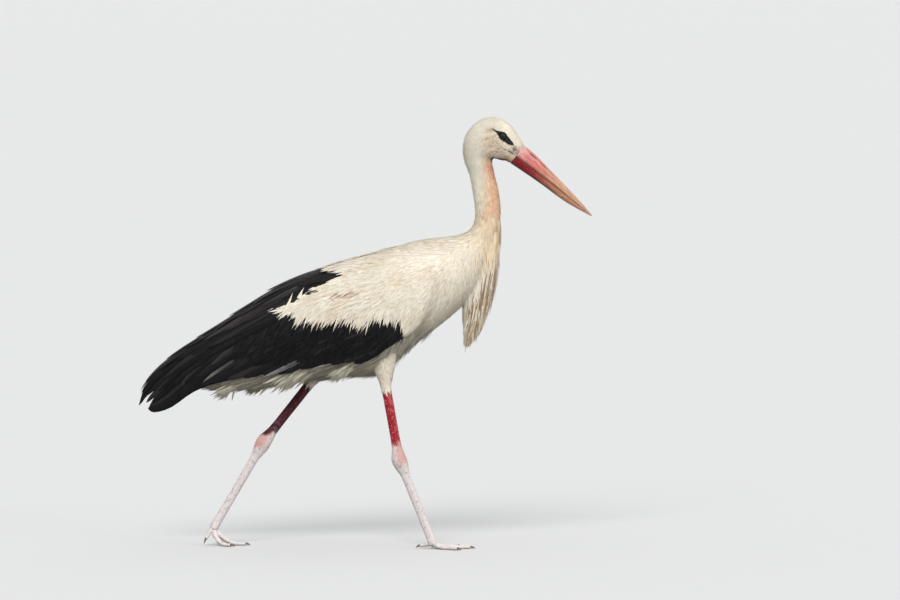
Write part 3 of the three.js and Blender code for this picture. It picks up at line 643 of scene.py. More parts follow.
claws = Parts()
for leg in LEGS.values():
    stations = np.array([leg[key] for key in ("thigh", "cuff", "hock", "toe")], float)
    bone, share = LEG_SIZES[:, 0].astype(int), LEG_SIZES[:, 1:2]
    places = stations[bone] + (stations[bone + 1] - stations[bone]) * share
    knots = run_to(places)
    cuff, hock = knots[3], knots[8]
    s = np.linspace(0, knots[-1], LEG_RINGS)
    row = along(np.column_stack([places, LEG_SIZES[:, 2:]]), s, knots)
    middle = np.stack([row[:, 0], np.full(len(s), leg["side"] * LEG_SPREAD), row[:, 1]], -1)
    ahead = unit(np.gradient(middle, axis=0))
    fore = np.stack([-ahead[:, 2], np.zeros(len(s)), ahead[:, 0]], -1)
    turn = circle(LEG_ROUND)
    beyond = np.broadcast_to((s - hock)[:, None], (len(s), len(turn)))
    # The heel of the hock is pleated and the two knuckles stand out at its sides.
    rear = np.clip(-np.cos(turn), 0, 1)[None] ** 2
    pleats = 0.5 * rear * np.sin(beyond * 1.5) * np.exp(-((beyond - 4) / 11) ** 2)
    knuckle = 1.0 * np.abs(np.sin(turn))[None] ** 3 * np.exp(-((beyond - 1) / 8) ** 2)
    tendon = -0.5 * np.exp(-((np.cos(turn)[None] + 0.35) / 0.22) ** 2) * (1 - np.exp(-(beyond / 26) ** 2))
    bare = ease(s, cuff - 12, cuff + 2)[:, None]
    across = np.broadcast_to(turn / (2 * np.pi) * SCALES_ROUND, beyond.shape)
    stand, own = scales(across, (beyond + 400) / SCALE_ROW, SCALES_ROUND, 7)
    grow = (pleats + knuckle + tendon + 0.42 * (stand - 0.75)) * bare
    wide, tall = (row[:, 2:3] + grow) * np.cos(turn), (row[:, 3:4] + grow) * np.sin(turn)
    ring = swept(middle, fore, np.array([[0, 1, 0]]), wide, tall, 0.5)
    front = np.broadcast_to(np.cos(turn), beyond.shape)
    tone = blend(DOWN, leg_colour(ring * 0.001, beyond, front, stand, own, leg["shade"]), bare)
    skin.tube(ring * 0.001, with_scales(tone, bare[..., None]), outward=False)

    # Toes: padded at each joint, flat where they press on the floor, webbed at their roots.
    side = leg["side"]
    headings = side * leg["splay"] * np.array([-1, 0, 1])
    paths = [toe_path(leg, heading, length) for heading, length in zip(headings, TOE_LENGTHS)]
    root = np.array([leg["toe"][0] - 3, side * (LEG_SPREAD - 3), leg["toe"][1] + 1])
    hind = math.radians(leg["hind"])
    end = root + (-HIND_LENGTH * math.cos(hind), -side * 5, -HIND_LENGTH * math.sin(hind))
    end[2] = max(end[2], 3.1)
    paths.append(root + (end - root) * np.linspace(0, 1, 5)[:, None])
    for number, joints in enumerate(paths):
        knots = run_to(joints)
        u = np.linspace(0, 1, TOE_RINGS)
        middle = along(joints, u * knots[-1], knots)
        girth = (6.0 - 2.5 * u) * (1 + 0.09 * np.cos(u * 8 * np.pi)) if number < 3 else 4.7 - 1.4 * u
        girth = girth * np.sqrt(np.clip((1.015 - u) / 0.03, 0.05, 1))
        turn = circle(TOE_ROUND)
        run = np.broadcast_to((u * knots[-1])[:, None], (len(u), len(turn)))
        across = np.broadcast_to(turn / (2 * np.pi) * TOE_SCALES_ROUND, run.shape)
        stand, own = scales(across, run / TOE_SCALE_ROW + 50, TOE_SCALES_ROUND, 20 + number)
        upper = ease(np.sin(turn), -0.3, 0.5)[None]
        plates = np.abs(np.sin(run * np.pi / 2.9)) ** 0.5
        stand = stand * (1 - upper) + plates * upper
        size = girth[:, None] + 0.3 * (stand - 0.7)
        ring = swept(middle, *frames(middle), size * np.cos(turn), size * 0.9 * np.sin(turn), 0.15)
        tone = leg_colour(ring * 0.001, np.full(run.shape, 150.0), 0 * run, stand, own, 0.0)
        tone = blend(tone, DUST, (1 - ease(ring[..., 2], 0.5, 5)) * 0.5)
        skin.tube(ring * 0.001, with_scales(tone, 1))

        # Its claw: short blunt horn that carries on from the toe and bends to the floor.
        ahead = unit(joints[-1] - joints[-2])
        start, tip = joints[-1] - ahead * CLAW_START, joints[-1] + ahead * CLAW_LENGTH
        tip[2] = max(tip[2] - 2, 0.9)
        u = np.linspace(0, 1, CLAW_RINGS)[:, None]
        middle = start * (1 - u) + tip * u + np.array([0, 0, 1.1]) * np.sin(u * np.pi)
        girth = 2.75 * (1 - 0.93 * u ** 1.7) ** 0.8
        turn = circle(CLAW_ROUND)
        tall = girth * (0.85 + 0.15 * np.sin(turn)) * np.sin(turn)
        ring = swept(middle, *frames(middle), girth * np.cos(turn), tall, 0.2)
        claws.tube(ring * 0.001, CLAW_BROWN * (1.25 - 0.6 * u[..., None]) * np.ones_like(ring))

    # The short web between the roots of two front toes.
    for near, far in ((0, 1), (1, 2)):
        reach, across = grid(np.linspace(0, 20, 14), np.linspace(0, 1, 16))
        first, second = (
            along(path, reach[:, 0], run_to(path))[:, None] for path in (paths[near], paths[far]))
        pull = (1 - 0.42 * np.sin(np.pi * across) * (reach / 20))[..., None]
        sheet = first * (1 - across[..., None]) + second * across[..., None]
        sheet = first[:1] + (sheet - first[:1]) * pull
        thick = np.array([0, 0, 1.0])
        ring = np.concatenate([sheet + thick, (sheet - thick)[:, ::-1]], 1)
        ring[..., 2] = np.maximum(ring[..., 2], 0.15)
        even = np.ones(ring.shape[:2])
        tone = leg_colour(ring * 0.001, 120 * even, 0 * even, 0.7 * even, 0 * even, 0.0)
        skin.tube(ring * 0.001, with_scales(tone, 1))

# Lids: a soft black ring that leaves an almond of the ball open, its front corner low.
BALL_RADIUS = 8.0                   # mm, as are the next two
LID_HALF_LENGTH, LID_HALF_HEIGHT = 6.3, 5.2
LID_ROUND, LID_SECTION = 72, 14
LID_TILT = math.radians(-36)
eyes = {}
for name, side in SIDES.items():
    low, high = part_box("eye_" + name)
    ball = np.array([(low[i] + high[i]) * 500 for i in range(3)])
    eyes[name] = ball
    turn = circle(LID_ROUND)
    x = LID_HALF_LENGTH * np.cos(turn) * (1 + 0.10 * np.cos(2 * turn))
    z = LID_HALF_HEIGHT * np.sin(turn) * (1 - 0.08 * np.cos(2 * turn))
    rim_x = x * math.cos(LID_TILT) - z * math.sin(LID_TILT)
    rim_z = x * math.sin(LID_TILT) + z * math.cos(LID_TILT)
    section = circle(LID_SECTION)
    out = 0.85 + 0.75 * np.cos(section)[:, None]            # outwards from the opening, in mm
    grow = 1 + out * 1.15 / np.hypot(rim_x, rim_z)[None]
    lid_x, lid_z = rim_x * grow, rim_z * grow
    deep = np.sqrt(np.maximum((BALL_RADIUS + 0.25) ** 2 - lid_x ** 2 - lid_z ** 2, 4))
    lid_y = deep + 0.55 * np.sin(section)[:, None] - 0.1
    ring = np.stack([ball[0] + lid_x, ball[1] + side * lid_y, ball[2] + lid_z], -1)
    faces = grid_faces(len(section) + 1, len(turn)) % (len(section) * len(turn))
    values = np.broadcast_to([*BARE_BLACK * 0.9, 0, 0, 0], (*ring.shape[:2], 6))
    skin.add(ring * 0.001, faces[:, ::-1] if side > 0 else faces, values)


def clouds(place, scale, detail, roughness=0.5):
    """Cloudy noise from 0 to 1 at a place, coarse to fine in so many steps."""
    inputs = {"Vector": place, "Scale": scale, "Detail": detail, "Roughness": roughness}
    return place.node("ShaderNodeTexNoise", inputs=inputs)


def relief(height, distance, strength):
    """The normal of a surface that stands up by a height of 0 to 1 times the distance."""
    inputs = {"Height": height, "Distance": distance, "Strength": strength}
    return height.node("ShaderNodeBump", inputs=inputs)


def marked(wire):
    """The tone that the mesh gives each point, and the point's place."""
    tone = wire.node("ShaderNodeAttribute", {"attribute_name": "tone"})
    return tone, wire.node("ShaderNodeTexCoord", output=3)


def fixed(piece, finish, slot, *nodes):
    """Gives a piece its finish and stands it for its nodes on the one body. Its slot is not used."""
    piece.data.materials.append(finish)
    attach(piece, "root")
    if nodes:
        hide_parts(*nodes)


skin_finish, wire, feed = finish_named("skin and scales", 0.62, Specular_IOR_Level=0.25)
tone, place = marked(wire)
fine = clouds(place, 900.0, 4.0)
broad = clouds(place, 160.0, 5.0, 0.6)
grain = (fine * 0.5 + broad * 0.5).between(0.3, 0.7)
feed("Base Color", (grain * 0.3).mix(tone, (0.45, 0.36, 0.38, 1), "MULTIPLY"))
feed("Roughness", broad * 0.3 + 0.42)
feed("Normal", relief(grain, 0.00025, 0.6))
flesh = ["undertail", "trunk", "breast", "neck_lower", "neck_upper", "head"]
for name in SIDES:
    flesh += [f"{part}_{name}" for part in ("thigh", "tibia", "hock", "tarsus", "palm")]
    flesh += [f"toe_{name}_{toe}" for toe in TOES]
fixed(skin.made("skin", ["tone", "scaly"]), skin_finish, "leg_chalk", *flesh)

# ---- The claws ------------------------------------------------------------------------
# Eight short blunt claws of dull brown horn, one on the end of each toe, with fine growth
# lines along them.
claw_finish, wire, feed = finish_named("claw horn", 0.42)
tone, place = marked(wire)
streaks = clouds(place, 700.0, 3.0)
feed("Base Color", (streaks * 0.5).mix(tone, (*linear(150, 128, 110), 1)))
feed("Roughness", streaks * 0.35 + 0.28)
feed("Normal", relief(streaks, 0.0002, 0.5))
claw_nodes = [f"claw_{name}_{toe}" for name in SIDES for toe in TOES]
fixed(claws.made("claws", ["tone"]), claw_finish, "claw", *claw_nodes)

# ---- The eyes -------------------------------------------------------------------------
# Dark brown glassy eyes, nearly all pupil, set as deep in the head as the live bird's. The
# clear front bulges a little over the iris.
CORNEA_BULGE = 0.45                 # mm
EYE_RINGS, EYE_ROUND = 44, 56
PUPIL, IRIS, EYE_RIM = linear(6, 5, 5), linear(22, 13, 9), linear(12, 9, 8)
for name, side in SIDES.items():
    angle = np.linspace(0.02, np.pi * 0.999, EYE_RINGS)
    angle, turn = grid(angle, circle(EYE_ROUND))
    radius = BALL_RADIUS + CORNEA_BULGE * (1 - ease(angle, 0.3, 0.85))
    off = radius * np.sin(angle)
    ring = np.stack([off * np.cos(turn), side * radius * np.cos(angle), off * np.sin(turn)], -1)
    iris = IRIS * (0.75 + 0.5 * waves(np.stack([turn, turn * 0, angle], -1), 0.6, 5)[..., None])
    shade = blend(blend(PUPIL, iris, ease(angle, 0.36, 0.40)), EYE_RIM, ease(angle, 0.66, 0.74))
    eye = Parts()
    eye.tube((ring + eyes[name]) * 0.001, shade, outward=side < 0)
    eye_finish, wire, feed = finish_named("eye " + name, 0.09, Specular_IOR_Level=0.35)
    tone, place = marked(wire)
    feed("Base Color", (clouds(place, 1500.0, 2.0) * 0.5).mix(tone, (0.006, 0.004, 0.003, 1)))
    fixed(eye.made("eyeball_" + name, ["tone"]), eye_finish, "eye", "eye_" + name)

# ---- The bill -------------------------------------------------------------------------
# Two horn-covered mandibles that meet along a nearly straight edge: the upper one with a
# ridge, a groove from the nostril forwards and a blunt tip, the lower one with a keel. The
# horn is red at the root and paler to the tip, with fine streaks along it.

# The ridge, the edge where the mandibles meet and the keel: their heights over the bill's
# middle line at equal steps from root to tip, in mm.
CULMEN = np.array([21.2, 21, 18.4, 15.3, 12.4, 9.3, 5.6, 0.9])[:, None]
CUTTING_EDGE = np.array([-4.2, -3.2, -2, -1, -0.5, -0.3, -0.2, -0.1])[:, None]
GONYS = np.array([-21.2, -18.6, -16.2, -14.1, -13.2, -11, -6.4, -1.1])[:, None]
BILL_LENGTH, BILL_HALF_WIDTH, BILL_GAP = 176.0, 12.3, 0.15
ROWS, ROUND, FLAT = 230, 54, 9          # points along a mandible, round its outside and over its inner face
# The upper mandible's paler pink near its root is partly painted highlight.
# Share of the way along the bill, and the screen colour there.
UPPER_COLOURS = np.array([
    (0.00, 222, 168, 160), (0.08, 226, 144, 136), (0.22, 220, 124, 112), (0.38, 216, 150, 120),
    (0.56, 218, 168, 132), (0.80, 212, 164, 134), (1.00, 206, 156, 130),
])
LOWER_COLOURS = np.array([
    (0.00, 130, 3, 12), (0.14, 142, 7, 20), (0.26, 154, 42, 40), (0.40, 182, 112, 84), (0.60, 204, 152, 114),
    (1.00, 204, 154, 124),
])
# The pale root is partly the horn's own colour and partly painted highlight; the side pink is painted
# highlight.
ROOT_PALE_AND_HIGHLIGHT, SIDE_PINK_HIGHLIGHT, RIDGE_RED = linear(232, 206, 196), linear(238, 186, 178), linear(158, 74, 70)
# Black along the lower mandible's keel: partly the throat's dark skin and partly painted shadow.
FLECK_BROWN, KEEL_SHADE_BLACK = linear(92, 52, 48), linear(34, 16, 18)
GROOVE_DARK, EDGE_RED = linear(48, 18, 20), linear(90, 34, 34)


def ridge_at(side, middle, width):
    """A bell across the side: e to the power minus the squared distance from its middle in widths."""
    return np.exp(-((side - middle) / width) ** 2)


def stretch_of(reach, start, full, fade, end):
    """1 from full to fade along the bill and smoothly down to 0 at start and end (mm)."""
    return ease(reach, start, full) * (1 - ease(reach, fade, end))


def mandible(crest, lift, upper):
    """A half-round ring carried along the bill: across is a cosine and height a sine to the power 0.75
    between the cutting edge and the crest, with grooves pressed in, and a nearly flat inner face. Gives its
    points, colours and places on a map."""
    t = np.linspace(0, 1, ROWS)[:, None]
    outside = np.linspace(0, np.pi, ROUND)[None]
    flat = np.linspace(-0.92, 0.92, FLAT)[None]
    half = BILL_HALF_WIDTH * (1 - t) ** 0.8 + 1.0 * t
    last = len(CULMEN) - 1
    edge = along(CUTTING_EDGE, t * last)[..., 0] + lift
    top = along(crest, t * last)[..., 0]
    reach = -BILL_ROOT_INSET + 0.15 + t * (BILL_LENGTH + BILL_ROOT_INSET - 0.3)
    across = np.concatenate([np.cos(outside) * half, flat * half], 1)
    share = np.concatenate([np.broadcast_to(np.sin(outside) ** 0.75, (ROWS, ROUND)), 0.02 + 0 * flat * t], 1)
    height = edge + (top - edge) * share
    turn = np.concatenate([np.broadcast_to(outside, (ROWS, ROUND)), 0 * flat + 0 * t], 1)
    side = np.minimum(turn, np.pi - turn)           # up the side from the edge, in radians
    onside = np.concatenate([np.ones(ROUND), np.zeros(FLAT)])[None]
    if upper:
        # The nostril's slit in its groove, a finer groove under it further on, and the ridge.
        run = np.interp(reach, [4, 30, 60, 95], [0.98, 0.92, 0.86, 0.8])
        deep = 0.75 * stretch_of(reach, 4, 12, 58, 96)
        groove = ridge_at(side, run, 0.075)
        slit = stretch_of(reach, 10, 13, 24, 28) * ridge_at(side, run, 0.10)
        second = ridge_at(side, 0.42, 0.05) * stretch_of(reach, 40, 60, 135, 165) * onside
        ridge = ridge_at(side, np.pi / 2, 0.16) * onside
        marks = np.clip(np.clip(0.55 * groove * deep / 0.75 + slit, 0, 1) * onside + 0.35 * second, 0, 1)
        press = (deep * groove + 1.5 * slit) * onside - 0.25 * ridge + 0.2 * second
    else:
        groove = ridge_at(side, 0.62, 0.06) * stretch_of(reach, 45, 62, 150, 172) * onside
        press, marks = 0.35 * groove, 0.6 * groove
        # Black along the keel near the root: partly the throat's dark skin beneath and partly painted shadow
        # under the bill.
        ridge = ease(side, 0.66, 0.98) * (1 - ease(reach, 60, 135)) * onside
    grain = np.stack([reach * 0.05 + 0 * turn, side * 3.0 * np.sign(turn - np.pi / 2), 0 * turn], -1)
    press = press + 0.10 * waves(grain, 1.1, 31) * onside
    shrink = 1 - press / np.maximum(np.hypot(across, height - edge), 1.5) * onside
    across, height = across * shrink, edge + (height - edge) * shrink
    stops = UPPER_COLOURS if upper else LOWER_COLOURS
    t = np.broadcast_to(t, turn.shape)
    colour = np.stack([np.interp(t, stops[:, 0], channel) for channel in linear(*stops[:, 1:].T)], -1)
    streak = waves(grain, 0.8, 32) * 0.5 + waves(grain * (1, 2.4, 1), 0.7, 33) * 0.5
    colour = colour * (1 + 0.24 * streak[..., None])
    if upper:
        # Pale at the root, partly the horn's own colour and partly painted highlight, and a pink painted
        # highlight along each side near the root.
        root = ease(waves(grain * (3, 1.6, 1), 0.9, 35) * 0.45 - (reach + 2) / 7, -0.4, 0.6) * onside
        colour = blend(colour, ROOT_PALE_AND_HIGHLIGHT, 0.5 * root)
        pink = ridge_at(side, 0.72, 0.16) * (1 - ease(reach, 70, 120)) * onside
        colour = blend(colour, SIDE_PINK_HIGHLIGHT, 0.5 * pink)
        colour = blend(colour, RIDGE_RED, 0.45 * ridge)
    else:
        flecks = ease(waves(grain * (6, 2.5, 1), 0.9, 34), 0.25, 0.8) * stretch_of(reach, 45, 70, 110, 150)
        colour = blend(blend(colour, FLECK_BROWN, 0.5 * flecks), KEEL_SHADE_BLACK, 0.9 * ridge)
    colour = blend(colour, GROOVE_DARK, 0.85 * marks)
    colour = blend(colour, EDGE_RED, 0.6 * (1 - ease(side, 0.02, 0.12)) * onside)
    number = np.broadcast_to(np.linspace(0, 1, ROUND + FLAT), turn.shape)
    places = 0.02 + 0.96 * np.stack([t, number], -1).reshape(-1, 2)
    return bill_place(reach, height, across), colour, np.concatenate([places, [[0.01, 0.5], [0.99, 0.5]]])


for name, crest, lift in (("upper", CULMEN, BILL_GAP), ("lower", GONYS, -BILL_GAP)):
    upper = name == "upper"
    rings, colour, places = mandible(crest, lift, upper)
    horn = Parts()
    horn.tube(rings, colour, outward=upper)
    horn_finish, wire, feed = finish_named(
        "bill horn " + name, 0.36, Specular_IOR_Level=0.3, Coat_Weight=0.08, Coat_Roughness=0.3)
    tone, place = marked(wire)
    grain = wire.node("ShaderNodeUVMap", {"uv_map": "Grain"})
    stretched = grain.node("ShaderNodeMapping", inputs={"Vector": grain, "Scale": (5.0, 42.0, 1.0)})
    streaks = clouds(stretched, 2.4, 7.0, 0.62)
    specks = clouds(place, 520.0, 4.0, 0.7)
    darker = streaks.between(0.42, 0.68).mix(tone, (0.52, 0.4, 0.4, 1), "MULTIPLY")
    feed("Base Color", (specks.between(0.54, 0.74) * 0.22).mix(darker, (*linear(244, 214, 204), 1)))
    feed("Roughness", streaks * 0.3 + 0.24)
    feed("Normal", relief(streaks * 0.6 + specks * 0.4, 0.0004, 0.55))
    fixed(horn.made("bill_horn_" + name, ["tone"], {"Grain": places}), horn_finish, "bill", "bill_" + name)

# ---- The feathers of the head ---------------------------------------------------------
# Thousands of short fine feathers that lie back from the bill, smallest on the face. Each is
# a thin closed blade with its root in the skin and its tip over the roots of those behind.
FIRST_STEP, SECOND_STEP = 0.7548776662466927, 0.5698402909980532    # the even two-number sequence
CELLS_A, CELLS_V = 240, 180
STEP_V = 0.003
JITTER = 0.25                       # of a cell


class Form:
    """A surface for feathers. place(a, v) is its point: a runs the way the coat lies and v across it."""

    def __init__(self, place, step_a, end=99.0, out=1.0, tube=True):
        self.place = place
        self.step_a = step_a
        self.end = end
        self.out = out
        self.tube = tube

    def slopes(self, a, v):
        """Its point and the change of the point with a and with v, from two small steps."""
        a = np.minimum(a, self.end - self.step_a)
        here = self.place(a, v)
        next_a, next_v = self.place(a + self.step_a, v), self.place(a, v + STEP_V)
        return here, (next_a - here) / self.step_a, (next_v - here) / STEP_V

    def walk(self, a, v, length, fall, legs):
        """Paths from each root: each leg goes the way of the coat, turned down the side by the angle fall.
        Gives the points, the normals and the directions across at each knot."""
        down = np.where(v % 1 < 0.5, 1.0, -1.0) if self.tube else 1.0
        points, normals = [], []
        for leg in range(legs + 1):
            here, da, dv = self.slopes(a, v)
            size_a = np.linalg.norm(da, axis=-1)
            ahead = da / size_a[:, None]
            lean = (dv * ahead).sum(-1)
            aside = dv - lean[:, None] * ahead
            points.append(here)
            normals.append(unit(np.cross(dv, da) * self.out))
            move_v = length / legs * np.sin(fall) * down / np.linalg.norm(aside, axis=-1)
            a = a + (length / legs * np.cos(fall) - move_v * lean) / size_a
            v = v + move_v
        return self.framed(np.stack(points, 1), np.stack(normals, 1))

    def line(self, a, v, end_a, end_v, legs):
        """Paths from each root to each end, along which a and v change evenly."""
        t = np.linspace(0, 1, legs + 1)
        a, v = (start[:, None] + (end - start)[:, None] * t for start, end in ((a, end_a), (v, end_v)))
        here, da, dv = self.slopes(a, v)
        return self.framed(here, unit(np.cross(dv, da) * self.out))

    @staticmethod
    def framed(points, normals):
        """The points and normals of paths, and the directions across them: normal times the way along."""
        across = np.cross(normals, np.gradient(points, axis=1))
        across /= np.linalg.norm(across, axis=-1)[..., None] + 1e-12
        return points, normals, across

    def spread(self, count, ends_a, ends_v, seed, weight=None):
        """Roots spread evenly over part of the surface: an even two-number sequence is stretched by the
        area of each cell of a fine grid times its weight, a function of the cell's point."""
        a = np.linspace(*ends_a, CELLS_A + 1)
        v = np.linspace(*ends_v, CELLS_V + 1)
        middle_a, middle_v = grid((a[1:] + a[:-1]) / 2, (v[1:] + v[:-1]) / 2)
        here, da, dv = self.slopes(middle_a, middle_v)
        area = np.linalg.norm(np.cross(da, dv), axis=-1)
        if weight is not None:
            area = area * weight(here)
        rows = area.sum(1)
        draw = np.random.default_rng(seed)
        n = np.arange(count)
        first = (0.5 + n * FIRST_STEP + draw.uniform()) % 1
        second = (0.5 + n * SECOND_STEP + draw.uniform()) % 1
        total = np.concatenate([[0], np.cumsum(rows)]) / rows.sum()
        at = np.interp(first, total, np.arange(CELLS_A + 1))
        row = np.minimum(at.astype(int), CELLS_A - 1)
        cells = np.cumsum(area / np.maximum(rows, 1e-12)[:, None], 1)
        flat = (cells + np.arange(CELLS_A)[:, None]).ravel()
        cell = np.clip(np.searchsorted(flat, row + second * 0.999999) - row * CELLS_V, 0, CELLS_V - 1)
        before = np.where(cell > 0, cells[row, np.maximum(cell - 1, 0)], 0)
        part = (second - before) / np.maximum(cells[row, cell] - before, 1e-9)
        jitter = draw.normal(size=(2, count)) * JITTER
        return (np.interp(at + jitter[0], np.arange(CELLS_A + 1), a),
                v[0] + (v[1] - v[0]) * (cell + np.clip(part, 0, 1) + jitter[1]))


BAKE_PATCH = 0.003                  # how broad each feather is on the bake map
SHAFT_HEIGHT = 0.0006


def feather_shape(columns, rows, shaft):
    """One feather's points and faces: a root, rows of points from edge to edge out to the tip, and an
    underside that spans from edge to edge and closes it. The tops are smooth. A shaft draws the columns
    together in the middle."""
    edges = np.linspace(-1, 1, columns + 1)
    edges = np.sign(edges) * np.abs(edges) ** (1.0 + shaft)
    s = np.concatenate([[0.0], np.tile(edges, rows)])
    t = np.concatenate([[0.0], np.repeat(np.arange(1, rows + 1) / rows, columns + 1)])

    def at(row, column):
        return 1 + (row - 1) * (columns + 1) + column

    faces = [(0, at(1, c), at(1, c + 1)) for c in range(columns)]
    faces += [(at(r, c), at(r + 1, c), at(r + 1, c + 1), at(r, c + 1))
              for r in range(1, rows) for c in range(columns)]
    tops = len(faces)
    faces.append((0, at(1, columns), at(1, 0)))
    faces += [(at(r, 0), at(r, columns), at(r + 1, columns), at(r + 1, 0)) for r in range(1, rows)]
    faces.append((at(rows, 0), *[at(rows, c) for c in range(columns, 0, -1)]))
    corners = np.concatenate(faces)
    starts = np.cumsum([0] + [len(f) for f in faces[:-1]])
    return s, t, corners, starts, np.arange(len(faces)) < tops


class Coat:
    """Feathers gathered for one piece. A soft coat is shaded as one downy surface: its normals are those of
    the form under it, rolled a little to each side of every feather."""

    def __init__(self, soft=0.0):
        self.soft = soft
        self.normals = []
        self.points, self.corners, self.starts, self.smooth = [], [], [], []
        self.tone, self.barb, self.bake = [], [], []
        self.count = self.corner_count = 0

    def grow(self, form, a, v, length, half, root, tip, tone, end_tone, fall=0.0, rows=3, keep=None, **shape):
        """Adds a feather along the coat at each root whose tip (mm) the function keep allows."""
        values = [np.broadcast_to(x, len(a)) for x in (length, half, root, tip)]
        path = form.walk(a, v, values[0], fall, max(rows, 3))
        places = np.stack([a, v], -1)
        places = (places - places.min(0)) / np.ptp(places, 0)
        if keep is not None:
            kept = keep(path[0][:, -1] * 1000)
            path = [part[kept] for part in path]
            values = [value[kept] for value in values]
            places, tone, end_tone = places[kept], tone[kept], end_tone[kept]
            shape = {key: value[kept] if np.ndim(value) else value for key, value in shape.items()}
        self.lay(path, places, *values, tone, end_tone, rows=rows, **shape)

    def lay(self, path, places, length, half, root, tip, tone, end_tone, columns=2, rows=3, camber=0.25,
            blunt=0.4, taper=0.25, bend=0.0, shaft=0.0, patch=BAKE_PATCH, seed=1):
        """Adds a feather along each path, its sizes in metres. A point at share t of the length and s across
        lies s times the half width aside of the path, and over it by a height that runs from root to tip."""
        path, normal, across = path
        count = len(path)
        draw = np.random.default_rng(seed)
        s, t, corners, starts, smooth = feather_shape(columns, rows, shaft)
        length, half, root, tip, bend = (
            np.broadcast_to(x, count)[:, None] for x in (length, half, root, tip, bend))
        draw.uniform(size=(count, columns + 1))     # passed over, so that the draws after it stay as they are
        reach = np.ones(len(t))
        reach[1:] = 1 - blunt * np.abs(s[1:]) ** 2
        along_t = np.broadcast_to(t * reach, (count, len(t)))
        knot_at = along_t * (path.shape[1] - 1)
        knot = np.minimum(knot_at.astype(int), path.shape[1] - 2)
        share = (knot_at - knot)[..., None]
        each = np.arange(count)[:, None]

        def at(values):
            return values[each, knot] * (1 - share) + values[each, knot + 1] * share

        width = np.minimum(along_t / 0.28, 1) ** 0.6 * (1 - (1 - taper) * along_t ** 2) * half
        rise = root + (tip - root) * along_t - camber * width * s ** 2
        rise = rise + shaft * SHAFT_HEIGHT * np.exp(-(s / 0.16) ** 2)
        sideways = s * width + bend * along_t ** 2
        points = at(path) + at(across) * sideways[..., None] + at(normal) * rise[..., None]
        colour = blend(tone[:, None], end_tone[:, None], ease(along_t, 0.2, 0.9))
        own = draw.uniform(size=(count, 1)) * np.ones(len(t))
        barb = np.stack([0.5 + s * half * 10, along_t * length * 10, own], -1)
        on_patch = np.stack([(s + 1) / 2 * np.ones_like(along_t), along_t], -1)
        bake = (places * (0.98 - patch) + 0.01)[:, None] + patch * on_patch
        offset = self.count + each * len(t)
        if self.soft:
            roll = s * self.soft + draw.normal(size=(count, 1)) * self.soft * 0.35
            lie = unit(at(normal) + at(across) * roll[..., None])
            top = np.repeat(smooth, np.diff([*starts, len(corners)]))
            self.normals.append((lie[:, corners] * np.where(top, 1.0, -1.0)[None, :, None]).reshape(-1, 3))
        self.points.append(points.reshape(-1, 3))
        self.corners.append((corners + offset).ravel())
        self.starts.append((starts + self.corner_count + each * len(corners)).ravel())
        self.smooth.append(np.tile(smooth, count))
        self.tone.append(np.clip(colour, 0, 1).reshape(-1, 3))
        self.barb.append(barb.reshape(-1, 3))
        self.bake.append(bake.reshape(-1, 2))
        self.count += count * len(t)
        self.corner_count += count * len(corners)

    def made(self, name, finish, slot, *nodes):
        """The piece: its mesh, finish, body and the CAD nodes that it stands for. Its slot is not used."""
        points, corners, starts, smooth, tone, barb, bake = (np.concatenate(part) for part in (
            self.points, self.corners, self.starts, self.smooth, self.tone, self.barb, self.bake))
        normals = np.concatenate(self.normals) if self.soft else None
        piece = mesh_object(
            name, points, corners, starts, smooth, {"tone": tone, "barb": barb}, {"OFBake": bake}, normals)
        fixed(piece, finish, slot, *nodes)


def plumage_finish(name, roughness, contrast, bump, dark, shine):
    """A feather finish: each point's tone, fine barbs that slant from the shaft, and soft blotches."""
    material, wire, feed = finish_named(name, roughness, Specular_IOR_Level=shine)
    tone, place = marked(wire)
    barb = wire.node("ShaderNodeAttribute", {"attribute_name": "barb"}, output=1)
    parts = barb.node("ShaderNodeSeparateXYZ", inputs={0: barb})
    aside = wire.node("ShaderNodeMath", {"operation": "ABSOLUTE"}, {0: parts - 0.5})
    down, own = (Wire(wire.tree, parts.socket.node.outputs[number]) for number in (1, 2))
    slant = wire.node("ShaderNodeCombineXYZ", inputs={
        0: down * 150.0 - aside * 190.0, 1: aside * 16.0, 2: own * 60.0})
    lines = clouds(slant, 1.0, 3.0, 0.6).between(0.36, 0.66)
    broad = clouds(place, 42.0, 5.0, 0.6)
    shade = (lines * contrast).mix(tone, dark, "MULTIPLY")
    feed("Base Color", (broad.between(0.35, 0.75) * (contrast * 0.8)).mix(shade, dark, "MULTIPLY"))
    feed("Roughness", lines * 0.12 + (roughness - 0.06))
    feed("Normal", relief(lines, 0.0003, bump))
    return material


CREAM, HEAD_WHITE, STAIN = linear(250, 242, 224), linear(254, 247, 230), linear(224, 200, 162)
FACE_BUFF, CREASE_SHADE_BROWN = linear(228, 190, 150), linear(158, 112, 80)
NECK_BUFF, NECK_PEACH, NECK_PINK = linear(248, 224, 188), linear(244, 192, 156), linear(240, 170, 146)


def line_share(x, z, *places):
    """How near a place is to a line through places of x, z and half width (mm): 1 on it and 0 beyond."""
    share = np.zeros(np.shape(x))
    for (x0, z0, half), (x1, z1, _) in zip(places[:-1], places[1:]):
        run_x, run_z = x1 - x0, z1 - z0
        t = np.clip(((x - x0) * run_x + (z - z0) * run_z) / (run_x ** 2 + run_z ** 2), 0, 1)
        gap = np.hypot(x - x0 - run_x * t, z - z0 - run_z * t)
        share = np.maximum(share, 1 - ease(gap, half * 0.6, half * 1.4))
    return share


